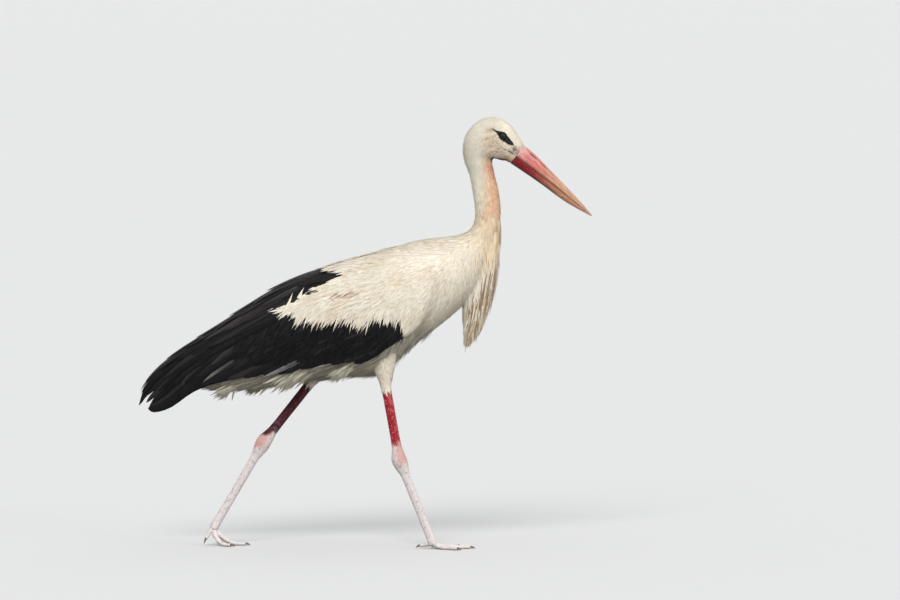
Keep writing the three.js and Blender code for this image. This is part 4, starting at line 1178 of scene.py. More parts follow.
def plumage_tone(points, seed, variety=0.05):
    """The pale plumage's colour at each point: cream, whitest on the head and nape, buff to peach down the
    front of the neck, buff round the face, with tan blotches and feathers that differ a little."""
    x, z = side_view(points)
    draw = np.random.default_rng(seed)
    blotch = waves(points, 0.02, 41) + 1.1 * draw.normal(size=len(points))
    tone = blend(CREAM, STAIN, 0.3 * ease(waves(points * (1, 1, 1.5), 0.06, 42), 0.1, 1.1))
    tone = blend(tone, NECK_BUFF, 0.75 * (stretch_of(z, 540, 620, 735, 750) * ease(x, 202, 240)))
    peach = ease(x + blotch * 7, 215, 243) * ease(z + blotch * 8, 640, 672)
    peach = peach * (1 - ease(z + blotch * 3, 740, 749))
    peach = peach * np.where(draw.uniform(size=len(points)) < 0.24, 0.35, 1.0)
    peach = peach * (1 - ease(x, 250, 256) * ease(z, 720, 730))
    tone = blend(blend(tone, NECK_PEACH, 0.9 * peach), NECK_PINK, 0.75 * peach * ease(z, 700, 730))
    nape = ease(z, 640, 700) * (1 - ease(x, 214, 226))
    tone = blend(tone, HEAD_WHITE, np.clip(ease(z + ease(x, 225, 250) * 6, 742, 754) + nape, 0, 1))
    # Buff stains behind and below the eye, and tan ones on the shoulder and the breast's side.
    patchy = np.clip(0.6 + 0.5 * waves(points * (1, 1, 2), 0.008, 43), 0, 1.1)
    for colour, mark_x, mark_z, wide, tall, share in (
            (FACE_BUFF, 244, 797, 10, 5, 0.95), (FACE_BUFF, 240, 777, 15, 8, 0.8),
            (FACE_BUFF, 254, 765, 15, 5, 0.6), (FACE_BUFF, 250, 752, 20, 6, 0.6),
            (FACE_BUFF, 268, 746, 12, 5, 0.55), (FACE_BUFF, 232, 758, 8, 12, 0.55),
            (STAIN, 101, 534, 20, 11, 0.6), (STAIN, 30, 505, 40, 10, 0.35), (STAIN, 95, 470, 26, 9, 0.3),
            (STAIN, -20, 460, 60, 12, 0.35), (STAIN, 170, 520, 24, 14, 0.3)):
        tone = blend(tone, colour, share * spot(x, z, mark_x, mark_z, wide, tall) * patchy)
    # A line of painted shade along a crease in the plumage.
    crease_shade = line_share(x, z, (-36, 503, 2.5), (-11, 498, 2.5), (10, 503, 2.0))
    tone = blend(tone, CREASE_SHADE_BROWN, 0.85 * crease_shade * patchy)
    broad = 1 + 0.035 * waves(points, 0.03, 44)[:, None]
    return tone * broad * (1 + variety * np.clip(draw.normal(size=(len(points), 1)), -2, 2))


soft_white = plumage_finish("pale plumage", 0.8, 0.14, 0.3, (0.78, 0.70, 0.60, 1), 0.3)
fine_white = plumage_finish("face plumage", 0.8, 0.1, 0.2, (0.8, 0.74, 0.68, 1), 0.3)
body_form = Form(body, 0.01)

head_coat = Coat(0.2)


def head_weight(points):
    """More roots on the face than on the nape and none on bare skin."""
    x, z = side_view(points)
    corner = spot(x, z, 291, 752, 6, 8)
    return (1 - ease(face_marks(points), 0.3, 0.6)) * (0.75 + 0.7 * ease(x, 225, 275)) * (1 - 0.45 * corner)


LORE_GREY, MOUTH_PINK, GAPE_AND_SHADOW_BROWN = linear(46, 43, 47), linear(196, 158, 156), linear(46, 34, 33)
a, v = body_form.spread(11000, (0.0, 7.6), (0, 1), 51, head_weight)
places = body(a, v)
draw = np.random.default_rng(52)
size = np.interp(a, [0, 1.5, 3.5, 5, 7.6], [2.2, 3.0, 4.6, 7.0, 10.0]) * draw.uniform(0.8, 1.25, len(a))
near_bare = ease(face_marks(places), 0.02, 0.3)
tone = plumage_tone(places, 53, 0.045)
x, z = side_view(places)
# Mottled grey between the lore and the bill, pinkish at the bill's root, the dark line of the
# gape, and the line under the bill that is partly the throat's dark skin and partly painted shadow.
lore = spot(x, z, 287, 757, 7, 8)
speckled = draw.uniform(size=len(a))
mottled = np.where(speckled < 0.7 * lore + 0.1, 1.0, 0.1)
tone = blend(tone, LORE_GREY, np.clip(near_bare * 0.9 + mottled * lore, 0, 0.95))
root = (1 - ease(a, 0.0, 0.55)) * ease(z, 745, 756)
tone = blend(tone, MOUTH_PINK, 0.75 * root * ease(speckled, 0.1, 0.5))
gape = line_share(x, z, (268, 757, 0.8), (277, 753, 1.6), (283, 749, 1.2))
# The throat's line: partly dark skin and partly painted shadow under the bill.
gular_and_shadow = line_share(x, z, (248, 741, 0.9), (256, 739, 1.5), (268, 736.5, 2.0), (280, 731, 2.4))
lie = np.stack([(x * 0.6 + z * 0.8) * 2.4, places[:, 1] * 1000, x * 0.8 - z * 0.6], -1) * 0.001
stroke = ease(waves(lie, 0.011, 55), 0.0, 0.7) * ease(x, 228, 242) * ease(-z, -806, -790)
stroke = stroke * (1 - 0.85 * ease(x, 262, 272) * ease(z, 764, 772))
ruffled = (draw.uniform(size=len(a)) < 0.75 * stroke)[:, None]
tone = np.where(ruffled, tone * linear(226, 210, 190), tone)
tone = blend(tone, GAPE_AND_SHADOW_BROWN, np.clip(0.85 * gape * (0.6 + speckled) + 0.9 * gular_and_shadow, 0, 0.95))
head_coat.grow(
    body_form, a, v, size * 0.001, size * 0.001 * np.interp(a, [0, 7.6], [0.2, 0.125]),
    -feather_depth(a) * 0.00085, (0.25 - near_bare * 0.9) * 0.001, tone * 0.95, tone,
    fall=draw.normal(size=len(a)) * 0.14, camber=0.2, blunt=0.45, taper=0.12, seed=54)
head_coat.made("feathers_head", fine_white, "plumage_white")

# ---- The feathers of the neck ---------------------------------------------------------
# Fine narrow feathers down the neck, peach on the throat, buff below it and whiter on the
# nape. They part here and there in sunk feathers painted darker as painted shade, and grow
# longer towards the breast.
neck_coat = Coat(0.25)
a, v = body_form.spread(8600, (6.6, 13.0), (0, 1), 61)
draw = np.random.default_rng(62)
places = body(a, v)
size = np.interp(a, [6.6, 9, 11, 13.0], [12, 26, 44, 58]) * draw.uniform(0.75, 1.25, len(a))
tone = plumage_tone(places, 63, 0.045)
low = ease(-places[:, 2] * 1000, -650, -560)
# Partings: sunk feathers painted darker, as painted shade in the gaps.
shaded_parting = (draw.uniform(size=len(a)) < 0.12 * low)[:, None]
tone = np.where(shaded_parting, tone * linear(226, 206, 182), tone)
neck_coat.grow(
    body_form, a, v, size * 0.001, draw.uniform(0.0011, 0.0019, len(a)) * np.interp(a, [6.6, 13], [0.9, 1.4]),
    -feather_depth(a) * 0.0007, np.where(shaded_parting[:, 0], -0.0010, draw.uniform(-0.0006, 0.0008, len(a))),
    tone * 0.97, tone,
    fall=draw.normal(size=len(a)) * 0.03, rows=4, camber=0.06, blunt=0.35, taper=0.3,
    bend=draw.normal(size=len(a)) * 0.0005, seed=64)
neck_coat.made("feathers_neck", soft_white, "plumage_neck")

# ---- The feathers of the breast -------------------------------------------------------
# Longer soft feathers from the root of the neck over the breast and the front edge of the
# wings. They lie on the outline of body and wings together, so that they pass over the fold
# where the wing tucks in.
PUSH_STEP, PUSH_CELLS = 0.05, 128
PUSH_ROWS = np.arange(12.5, 21.01, PUSH_STEP)


def rib_middle(a):
    """The middle of body rib a and the way up it, in the side view (mm)."""
    up_x, up_z, low_x, low_z, _, widest, _, _ = np.moveaxis(along(RIBS, a), -1, 0)
    run = np.stack([low_x - up_x, low_z - up_z], -1)
    up = -run / np.linalg.norm(run, axis=-1)[..., None]
    return np.stack([up_x, up_z], -1) + run * widest[..., None], up


push = np.ones((len(PUSH_ROWS), PUSH_CELLS))
grid_a, grid_v = grid(np.linspace(0, 12, 700), np.linspace(0, 1, 260))
arm = wing(grid_a, grid_v, 1).reshape(-1, 3) * 1000
for number, a in enumerate(PUSH_ROWS):
    middle, up = rib_middle(np.float64(a))
    off = arm[:, (0, 2)] - middle
    near = np.abs(off[:, 0] * up[1] - off[:, 1] * up[0]) < 3.0
    above, aside = off[near] @ up, arm[near, 1]
    ring = body(a, np.linspace(0, 0.5, 91)) * 1000
    ring_above = (ring[:, (0, 2)] - middle) @ up
    turn, ring_turn = np.arctan2(aside, above), np.arctan2(ring[:, 1], ring_above)
    reach = np.interp(turn, ring_turn, np.hypot(ring[:, 1], ring_above))
    cell = np.clip((turn / np.pi * PUSH_CELLS).astype(int), 0, PUSH_CELLS - 1)
    np.maximum.at(push[number], cell, np.hypot(aside, above) / reach)


def smoothed(table, reach):
    """The table blurred three times over a square of cells, so many to each side of the middle one."""
    rows, cells = table.shape
    side = 2 * reach + 1
    for _ in range(3):
        wide = np.pad(table, reach, mode="edge")
        table = sum(wide[i:i + rows, j:j + cells] for i in range(side) for j in range(side)) / side ** 2
    return table


def looked_up(table, row, cell):
    """The value of a table at a row and cell that may lie between whole ones, blended evenly."""
    row, cell = (np.clip(at, 0, size - 1.001) for at, size in zip((row, cell), table.shape))
    i, j = row.astype(int), cell.astype(int)
    p, q = row - i, cell - j
    near = table[i, j] * (1 - q) + table[i, j + 1] * q
    return near * (1 - p) + (table[i + 1, j] * (1 - q) + table[i + 1, j + 1] * q) * p


push = smoothed(push, 2)


def over_wings(a, v):
    """The body at rib a and turn v, pushed out from the rib's middle as far as the folded wings."""
    a, v = np.broadcast_arrays(np.asarray(a, float), np.asarray(v, float))
    point = body(a, v)
    middle, up = rib_middle(a)
    off = point[..., (0, 2)] * 1000 - middle
    angle = np.arctan2(np.abs(point[..., 1]) * 1000, (off * up).sum(-1))
    share = looked_up(push, (a - PUSH_ROWS[0]) / PUSH_STEP, angle / np.pi * PUSH_CELLS - 0.5)
    core = np.stack([middle[..., 0], np.zeros_like(angle), middle[..., 1]], -1) * 0.001
    return core + (point - core) * share[..., None]


def over_white(tips, ragged=4.0, seed=5):
    """Whether each tip (mm) is on the white of the bird, its edge ragged by so many mm and wavy in locks."""
    draw = np.random.default_rng(seed)
    shift = draw.normal(size=(2, len(tips))) * ragged
    locks = waves(tips * (0.001, 0, 0.0004), 0.034, 45) * ragged * 2
    return inside(tips[:, 0] + shift[0], tips[:, 2] + shift[1] + locks, WHITE_ZONE)


def on_wing(x, z):
    """The wing rib and the share down it of places in the side view (mm): the rib's drop and its number are
    each worked out from the other in turn, and the share is read back from the drop."""
    table = np.linspace(0, 1, 401)
    drops = 3 * (1 - table) ** 2 * table * 0.02 + 3 * (1 - table) * table ** 2 * 0.55 + table ** 3
    knots = np.arange(len(WING_RIBS))
    drop = np.full(len(x), 0.5)
    for _ in range(30):
        reach = WING_RIBS[:, 0] + (WING_RIBS[:, 2] - WING_RIBS[:, 0]) * drop[:, None]
        number = np.clip((reach > x[:, None]).sum(1) - 1, 0, len(WING_RIBS) - 2)
        each = np.arange(len(x))
        rib = number + (reach[each, number] - x) / (reach[each, number] - reach[each, number + 1])
        upper, lower = np.interp(rib, knots, WING_RIBS[:, 1]), np.interp(rib, knots, WING_RIBS[:, 3])
        drop = np.clip((upper - z) / (upper - lower), 0, 1)
    return rib, np.interp(drop, drops, table)


def slope_down(points):
    """How steeply the white feathers turn down the side, in radians: most towards the white's edge."""
    x, z = side_view(points)
    fall = math.radians(6) + math.radians(56) * (1 - ease(z, 425, 515)) * (1 - ease(x, 95, 150))
    fall = fall * (1 - 0.75 * ease(-x, 100, 165))
    return fall + 0.75 * ease(x, 125, 180) * (1 - ease(z, 570, 610))


coat_form = Form(over_wings, 0.02)
breast_coat = Coat(0.3)
for count, wide, round_tip, lift, seed in ((3000, 0.095, 0.5, 0.0003, 71), (1700, 0.045, 0.1, 0.0007, 77)):
    a, v = coat_form.spread(count, (12.2, 15.8), (0.12, 0.88), seed)
    draw = np.random.default_rng(seed + 1)
    places = over_wings(a, v)
    size = np.interp(a, [11.9, 13.5, 15.7], [34, 44, 48]) * draw.uniform(0.75, 1.25, len(a))
    tone = plumage_tone(places, seed + 2, 0.035)
    breast_coat.grow(
        coat_form, a, v, size * 0.001, size * 0.001 * wide, -0.0035,
        draw.uniform(-0.0003, 0.0002, len(a)) + lift, tone * 0.99, tone,
        fall=slope_down(places) * 0.8 + draw.normal(size=len(a)) * 0.05, rows=4, camber=0.06,
        blunt=0.2 + 0.5 * round_tip, taper=round_tip, bend=draw.normal(size=len(a)) * 0.001, seed=seed + 3,
        keep=over_white)
breast_coat.made("feathers_breast", soft_white, "plumage_white")

# ---- The plumes of the foreneck -------------------------------------------------------
# A beard of long, narrow, loose feathers that hangs from the foreneck in front of the
# breast, each strand free of the next at its tip.
plume_form = Form(plume, 0.01, end=5.0)
plume_coat = Coat(0.4)
a, v = plume_form.spread(2300, (0.3, 3.9), (0, 1), 81)
draw = np.random.default_rng(82)
places = plume(a, v)
left = (4.85 - a) * 45 * draw.uniform(0.72, 0.99, len(a))
size = np.minimum(draw.uniform(60, 115, len(a)), left)
tone = plumage_tone(places, 83, 0.06)
# Partings: sunk strands painted darker, as painted shade between the strands.
shaded_parting = draw.uniform(size=len(a)) < 0.26 * ease(a, 0.3, 1.1)
tone = np.where(shaded_parting[:, None], tone * linear(168, 132, 98), tone)
plume_coat.grow(
    plume_form, a, v, size * 0.001, draw.uniform(0.0009, 0.0019, len(a)),
    draw.uniform(-0.008, -0.003, len(a)),
    np.where(shaded_parting, -0.0035, draw.uniform(-0.002, 0.002, len(a))) - 0.009 * (1 - ease(a, 0.3, 1.3)),
    tone * 0.93, tone, fall=draw.normal(size=len(a)) * 0.03, rows=6, camber=0.3, blunt=0.2, taper=0.12,
    bend=draw.normal(size=len(a)) * 0.003, seed=84)
# Strands from the neck that cover the tops of the plumes.
a, v = body_form.spread(190, (10.0, 11.2), (0.40, 0.60), 185)
draw = np.random.default_rng(186)
size = draw.uniform(0.044, 0.074, len(a))
tone = plumage_tone(body(a, v), 187, 0.05)
plume_coat.grow(
    body_form, a, v, size, draw.uniform(0.0010, 0.0017, len(a)), -0.004, size * 0.19 - 0.001, tone * 0.96,
    tone, fall=draw.normal(size=len(a)) * 0.03, rows=6, camber=0.2, blunt=0.25, taper=0.12, seed=188)

# Over the seam between plumes and breast hang strands on the outline of both, seen from the
# side: how far the outermost surface stands off the middle at each place of a grid.
DRAPE_CELL = 1.5                    # mm
DRAPE_LOW = np.array([60.0, 360.0])
drape = np.zeros((150, 200))
samples = []
for surface, ends in ((body, (9.5, 16.5)), (plume, (0.0, 5.0))):
    grid_a, grid_v = grid(np.linspace(*ends, 900), np.linspace(0, 0.5, 420))
    samples.append(surface(grid_a, grid_v).reshape(-1, 3) * 1000)
samples = np.concatenate(samples)
cells = ((samples[:, (0, 2)] - DRAPE_LOW) / DRAPE_CELL).astype(int)
held = ((cells >= 0) & (cells < drape.shape)).all(1)
np.maximum.at(drape, (cells[held, 0], cells[held, 1]), samples[held, 1])
drape = smoothed(drape, 1)


def drape_depth(x, z):
    """How far the outermost surface stands off the middle at a place in the side view (mm)."""
    return looked_up(drape, (x - DRAPE_LOW[0]) / DRAPE_CELL - 0.5, (z - DRAPE_LOW[1]) / DRAPE_CELL - 0.5)


def over_seam(points):
    """1 over the seam and in front of it, where the outline stands off the middle, and 0 behind."""
    x, z = side_view(points)
    seam = np.interp(z, [430, 500, 600], [172, 176, 196])
    return (np.abs(points[..., 1]) > 0.009) * 1.0 * ease(x - seam, 0, 15)


for side in SIDES.values():
    drape_form = Form(lambda a, v, side=side: np.stack(
        [-300 * v, side * drape_depth(-300 * v, -10 * a), -10 * a], -1) * 0.001, 0.15, out=-side, tube=False)
    a, v = drape_form.spread(1500, (-62, -43), (-0.88, -0.5), 86, over_seam)
    draw = np.random.default_rng(87)
    places = drape_form.place(a, v)
    x, z = side_view(places)
    size = np.interp(z, [430, 520, 620], [40, 70, 60]) * draw.uniform(0.7, 1.2, len(a))
    swing = np.radians(np.interp(z, [384, 443, 500, 600], [36, 24, 12, 4]) + np.clip(200 - x, 0, 60) * 0.4)
    tone = plumage_tone(places, 88, 0.05)
    # Partings: sunk strands painted darker, as painted shade between the strands.
    shaded_parting = draw.uniform(size=len(a)) < 0.16
    tone = np.where(shaded_parting[:, None], tone * linear(205, 180, 152), tone)
    plume_coat.grow(
        drape_form, a, v, size * 0.001, draw.uniform(0.0009, 0.0018, len(a)), -0.004,
        np.where(shaded_parting, -0.0004, draw.uniform(0.0, 0.0014, len(a))), tone * 0.94, tone,
        fall=swing + draw.normal(size=len(a)) * 0.03, rows=5, camber=0.2, blunt=0.2, taper=0.12, seed=89,
        bend=draw.normal(size=len(a)) * 0.0015, keep=lambda tips: drape_depth(tips[:, 0], tips[:, 2]) > 5.0)
    # Long dark strands laid where the gaps between the strands are, as painted shade, as x and z of both
    # ends.
    shade_gaps = np.array([
        (241, 530, 227, 452), (250, 536, 239, 471), (233, 520, 217, 427), (227, 505, 211, 414),
        (217, 486, 205, 401), (208, 472, 198, 401), (200, 462, 195, 420), (246, 498, 236, 452),
        (236, 480, 226, 440),
    ], float)
    strands = np.repeat(shade_gaps, 3, 0) + np.random.default_rng(90).normal(size=(27, 4)) * (1.6, 11, 1.1, 8)
    strands = strands * (-1 / 300, -0.1, -1 / 300, -0.1)
    path = drape_form.line(strands[:, 1], strands[:, 0], strands[:, 3], strands[:, 2], 8)
    # Brown of the strands that stand for the shaded gaps: painted shade.
    tone = linear(148, 116, 86) * np.random.default_rng(91).uniform(0.7, 1.3, (27, 1))
    plume_coat.lay(
        path, strands[:, 1::-1] * (-0.01, -0.5), 0.08, 0.00065, 0.0010, 0.0022, tone, tone * 1.3,
        rows=6, camber=0.2, blunt=0.1, taper=0.1, seed=92)
# Loose strands that hang straight down from the front and the sides and end free of the rest.
a, v = plume_form.spread(420, (1.0, 4.3), (0.16, 0.84), 181)
draw = np.random.default_rng(182)
here, da, dv = plume_form.slopes(a, v)
normal = unit(np.cross(dv, da))
lowest = np.interp(here[:, 0] * 1000 - 6, [193, 208, 222, 236, 245], [378, 392, 416, 440, 466])
size = (here[:, 2] * 1000 - lowest) * draw.uniform(0.6, 1.1, len(a)) + 6
size = np.clip(size, 8, draw.uniform(26, 62, len(a)))
t = np.linspace(0, 1, 7)[None, :, None]
swing = np.stack(
    [draw.uniform(-0.32, -0.06, len(a)), draw.normal(size=len(a)) * 0.03, np.full(len(a), -1.0)], -1)
path = here[:, None] - normal[:, None] * 0.003 + swing[:, None] * size[:, None, None] * 0.001 * t
path = plume_form.framed(path, np.repeat(normal[:, None], 7, 1))
tone = plumage_tone(here, 183, 0.06)
# Partings: strands painted darker, as painted shade between the strands.
shaded_parting = draw.uniform(size=len(a)) < 0.24
tone = np.where(shaded_parting[:, None], tone * linear(196, 166, 134), tone)
plume_coat.lay(
    path, np.stack([a / 5, v], -1), size * 0.001, draw.uniform(0.0007, 0.0015, len(a)), 0.0, 0.0005,
    tone * 0.92, tone, rows=6, camber=0.3, blunt=0.15, taper=0.06, bend=draw.normal(size=len(a)) * 0.003,
    seed=184)
plume_coat.made("feathers_plumes", soft_white, "plumage_neck", "plumes")

# ---- The feathers of the back ---------------------------------------------------------
# Soft feathers along the middle of the back and over its two sides as far as the wings, white
# up to the black shoulder feathers behind.
back_coat = Coat(0.3)
for count, wide, round_tip, lift, seed in ((2400, 0.105, 0.55, 0.0003, 91), (1300, 0.045, 0.1, 0.0007, 96)):
    a, v = coat_form.spread(count, (12.2, 19.8), (-0.14, 0.14), seed)
    draw = np.random.default_rng(seed + 1)
    places = over_wings(a, v)
    size = np.interp(a, [11.9, 14, 19], [34, 46, 52]) * draw.uniform(0.8, 1.25, len(a))
    tone = plumage_tone(places, seed + 2, 0.03) * 0.9
    back_coat.grow(
        coat_form, a, v, size * 0.001, size * 0.001 * wide, -0.0035,
        draw.uniform(-0.0002, 0.0002, len(a)) + lift, tone * 0.99, tone,
        fall=draw.normal(size=len(a)) * 0.05 + 0.05, rows=4, camber=0.05, blunt=0.2 + 0.5 * round_tip,
        taper=round_tip, bend=draw.normal(size=len(a)) * 0.001, seed=seed + 3,
        keep=lambda tips: over_white(tips, 2.0))
back_coat.made("feathers_back", soft_white, "plumage_white")

# ---- The white feathers of the wings --------------------------------------------------
# White wing coverts, the long way down the folded wing. Their loose tips hang over the
# black feathers in a ragged edge, with some long spikes.


def wing_paths(side, ends, legs):
    """Paths over the wing between places in the side view, given as x and z of both ends (mm), with the
    places of their roots on the bake map and their lengths in metres."""
    root_a, root_v = on_wing(ends[:, 0], ends[:, 1])
    tip_a, tip_v = on_wing(ends[:, 2], ends[:, 3])
    path = WING_FORMS[side].line(root_a, root_v, tip_a, tip_v, legs)
    return path, np.stack([root_a / 12, root_v], -1), np.hypot(*(ends[:, :2] - ends[:, 2:]).T) * 0.001


def to_edge(points):
    """More roots towards the lower edge of the white than above it."""
    return 0.25 + ease(-points[..., 2], -0.488, -0.462)


WING_FORMS = {
    side: Form(lambda a, v, side=side: wing(a, v, side), 0.02, end=12.0, out=side, tube=False)
    for side in SIDES.values()}
for name, side in SIDES.items():
    covert_coat = Coat(0.3)
    ends_v = (0.11, 0.40) if side > 0 else (0.60, 0.89)
    for count, wide, round_tip, lift, seed in (
            (2700, 0.10, 0.55, 0.0002, 101), (3300, 0.032, 0.08, 0.0006, 111)):
        low_edge = round_tip < 0.5
        a, v = coat_form.spread(count, (14.2, 19.7), ends_v, seed + side, to_edge if low_edge else None)
        draw = np.random.default_rng(seed + 3 + side)
        places = over_wings(a, v)
        size = draw.uniform(28, 54, len(a))
        tone = plumage_tone(places, seed + 6 + side, 0.035) * 0.93
        covert_coat.grow(
            coat_form, a, v, size * 0.001, size * 0.001 * wide, -0.0035,
            draw.uniform(-0.0001, 0.0003, len(a)) + lift, tone * 0.99, tone,
            fall=slope_down(places) + draw.normal(size=len(a)) * 0.06, rows=4, camber=0.05,
            blunt=0.2 + 0.5 * round_tip, taper=round_tip, bend=draw.normal(size=len(a)) * 0.0014,
            seed=seed + 9 + side,
            keep=lambda tips, margin=0 if low_edge else 5: over_white(tips - (0, 0, margin), 2.5))
    # Spikes that hang furthest over the black, two that lie back from the rear corner of the white
    # and four that stand up from it, as x and z of root and tip.
    spikes = np.array([
        (12, 446, 3, 409), (-20, 452, -27, 411), (-46, 450, -58, 414), (-72, 450, -81, 418),
        (-104, 452, -114, 419), (-148, 458, -181, 450), (-146, 456, -174, 447), (-152, 441, -133, 487),
        (-155, 444, -139, 474), (-128, 472, -112, 497), (-124, 470, -115, 488), (64, 440, 58, 417),
    ])
    spike_half = np.array([1.8, 1.2, 1.7, 1.3, 1.5, 2.4, 2.0, 3.5, 3.0, 2.8, 2.2, 1.3]) * 0.001
    tone = np.tile(CREAM, (len(spikes), 1))
    covert_coat.lay(
        *wing_paths(side, spikes, 6), spike_half, -0.001, 0.0022, tone * 0.92, tone * 0.95,
        rows=6, columns=4, camber=0.3, blunt=0.3, taper=0.05, seed=114)
    covert_coat.made("coverts_white_" + name, soft_white, "plumage_white", f"wing_{name}_coverts")

# ---- The black feathers of the wings --------------------------------------------------
# Stiff glossy black feathers: the long primaries that make the tip, the secondaries whose
# ends step down along the lower edge, the coverts over their roots and the shoulder
# feathers that lie over the top. Each has a shaft and vanes that curve down to its edges.
# The grey of the pale feather edges is partly their own and partly painted sheen.
BLACK, BLACK_BROWN, PALE_EDGE_AND_SHEEN_GREY = linear(8, 8, 10), linear(44, 40, 39), linear(158, 154, 152)
black_finish = plumage_finish("black plumage", 0.35, 0.6, 0.5, (0.35, 0.38, 0.48, 1), 0.12)


def black_tone(count, seed, brownest=1.0):
    """Black, some feathers browner or lighter than others."""
    draw = np.random.default_rng(seed)
    brown = brownest * draw.uniform(size=(count, 1)) ** 3
    return (BLACK + (BLACK_BROWN - BLACK) * brown) * (1 + 0.35 * np.clip(draw.normal(size=(count, 1)), -2, 2))


def shoulder_edge(a):
    """The share down the wing where the shoulder feathers end, at wing rib a."""
    return np.interp(a, [4, 6, 7, 8, 9, 12], [0.40, 0.42, 0.48, 0.585, 0.73, 0.9])


for name, side in SIDES.items():
    wing_form = WING_FORMS[side]
    flight_coat = Coat(0.42)
    draw = np.random.default_rng(120 + side)

    def lay_rank(a, v, end_a, end_v, half, root, tip, seed, **shape):
        """A rank of long feathers from roots to ends given as wing ribs and shares down the wing."""
        a, v, end_a, end_v = np.broadcast_arrays(a, v, end_a, end_v)
        path = wing_form.line(a, v, end_a, end_v, 14)
        length = np.linalg.norm(np.diff(path[0], axis=1), axis=-1).sum(1)
        tone = black_tone(len(a), seed)
        places = np.stack([a / 12, v], -1)
        flight_coat.lay(
            path, places, length, half, root, tip, tone, tone * 1.5, columns=8, rows=14, camber=0.16,
            shaft=0.5, patch=0.03, seed=seed, **shape)

    # Primaries: the long tip, in a lower rounded and an upper pointed group.
    n = np.arange(6)
    lay_rank(6.4 + 0.1 * n, 0.96 - 0.07 * n, 11.78 - 0.20 * n, 0.99 - 0.05 * n, 0.0110, -0.003,
             -0.002 + n * 0.0003, 132, blunt=0.06, taper=0.36)
    n = np.arange(7)
    lay_rank(7.0 + 0.1 * n, 0.62 - 0.06 * n, 12.0 - 0.20 * n, 0.40 - 0.045 * n, 0.0096, -0.003,
             -0.0005 + n * 0.0003, 131, blunt=0.06, taper=0.2)
    # Secondaries, front ones over those behind.
    n = np.arange(18)[::-1]
    uneven = draw.uniform(-1, 1, (6, 22))
    end_a = 3.4 + n * 0.36 + 0.10 * uneven[0, n]
    lay_rank(end_a - 3.2, np.interp(n, [0, 17], [0.76, 0.62]), end_a, 0.992 + 0.006 * uneven[1, n],
             0.0125 + 0.0015 * uneven[2, n], -0.005, 0.0008 - n * 0.0001, 133, blunt=0.05, taper=0.42)
    # Two ranks of coverts over their roots.
    n = np.arange(20)[::-1]
    end_a = 2.9 + n * 0.34 + 0.14 * uneven[3, n]
    lay_rank(np.maximum(end_a - 2.3, 1.4), np.interp(n, [0, 19], [0.80, 0.50]), end_a,
             np.interp(n, [0, 19], [0.95, 0.84]) + 0.02 * uneven[4, n], 0.0095 + 0.0015 * uneven[5, n],
             -0.005, 0.0012 - n * 0.00003, 134, blunt=0.05, taper=0.25)
    n = np.arange(22)[::-1]
    end_a = 2.3 + n * 0.30 + 0.12 * uneven[1, n]
    lay_rank(np.maximum(end_a - 1.7, 1.2), np.interp(n, [0, 21], [0.80, 0.46]), end_a,
             np.interp(n, [0, 21], [0.90, 0.70]) + 0.03 * uneven[0, n], 0.0082 + 0.0012 * uneven[2, n],
             -0.006, 0.0014 - n * 0.00003, 135, blunt=0.05, taper=0.22)
    # Shoulder feathers in lanes, each lane over the one below it.
    for lane, share in enumerate((0.95, 0.80, 0.64, 0.47, 0.31, 0.15)):
        n = np.arange(6)[::-1]
        # The upper lanes start further back, under the white of the back.
        first, least = (5.0, 3.2) if lane < 3 else (6.1, 4.3)
        end_a = np.minimum(first + n * 1.15 + 1.15 * ((lane * 0.618) % 1), 11.3)
        start_a = np.maximum(end_a - 4.6, least)
        lay_rank(start_a, shoulder_edge(start_a) * share, end_a, shoulder_edge(end_a) * share, 0.0105,
                 -0.004, 0.0010 + lane * 0.0006 - n * 0.00012, 136 + lane, blunt=0.06, taper=0.22)

    # Pale grey edges on three feathers of the lower edge and one of the shoulder, partly their own
    # pale edges and partly painted sheen, as x and z of both ends.
    pale_edges_and_sheen = np.array([
        (-108, 366, -190, 330), (-46, 356, -98, 345), (-243, 362, -304, 317), (-270, 417, -311, 398)])
    tone = PALE_EDGE_AND_SHEEN_GREY * np.array([1.0, 1.5, 0.75, 0.9])[:, None]
    flight_coat.lay(
        *wing_paths(side, pale_edges_and_sheen, 8), np.array([0.0052, 0.0018, 0.0042, 0.0013]), -0.0005, 0.0022,
        tone * 0.35, tone, rows=8, columns=4, camber=0.2, blunt=0.2, taper=0.3, patch=0.02, seed=143)

    # Small coverts under the white edge and along the front of the wing.
    a, v = wing_form.spread(1900, (0.1, 7.0), (0.5, 0.97), 141 + side)
    x, z = side_view(wing_form.place(a, v))
    high = z > np.interp(x, [-230, -120, -40, 40, 100], [400, 385, 372, 358, 340])
    high &= ~inside(x - 8, z - 20, WHITE_ZONE)
    a, v, x = a[high], v[high], x[high]
    size = draw.uniform(32, 54, len(a))
    tone = black_tone(len(a), 144 + side, 0.25) * 1.7
    front = ease(x, -60, 90)
    deep = np.radians(52) * front + np.radians(36) * (1 - front)

    def under_white(tips):
        shift = np.random.default_rng(146).normal(size=len(tips)) * 2
        lower = np.interp(-tips[:, 0], -WING_RIBS[:, 2], WING_RIBS[:, 3])
        return ~inside(tips[:, 0] + shift, tips[:, 2] + 4, WHITE_ZONE) & (tips[:, 2] > lower + 3)

    flight_coat.grow(
        wing_form, a, v, size * 0.001, size * 0.001 * 0.12, -0.005, draw.uniform(0.0007, 0.0012, len(a)),
        tone, tone * 1.15, fall=deep + draw.normal(size=len(a)) * 0.05, rows=4, camber=0.08, blunt=0.3,
        taper=0.15, seed=147, keep=under_white)
    flight_coat.made("feathers_black_" + name, black_finish, "plumage_black", f"wing_{name}_secondaries",
                     f"wing_{name}_scapulars", f"wing_{name}_primaries")

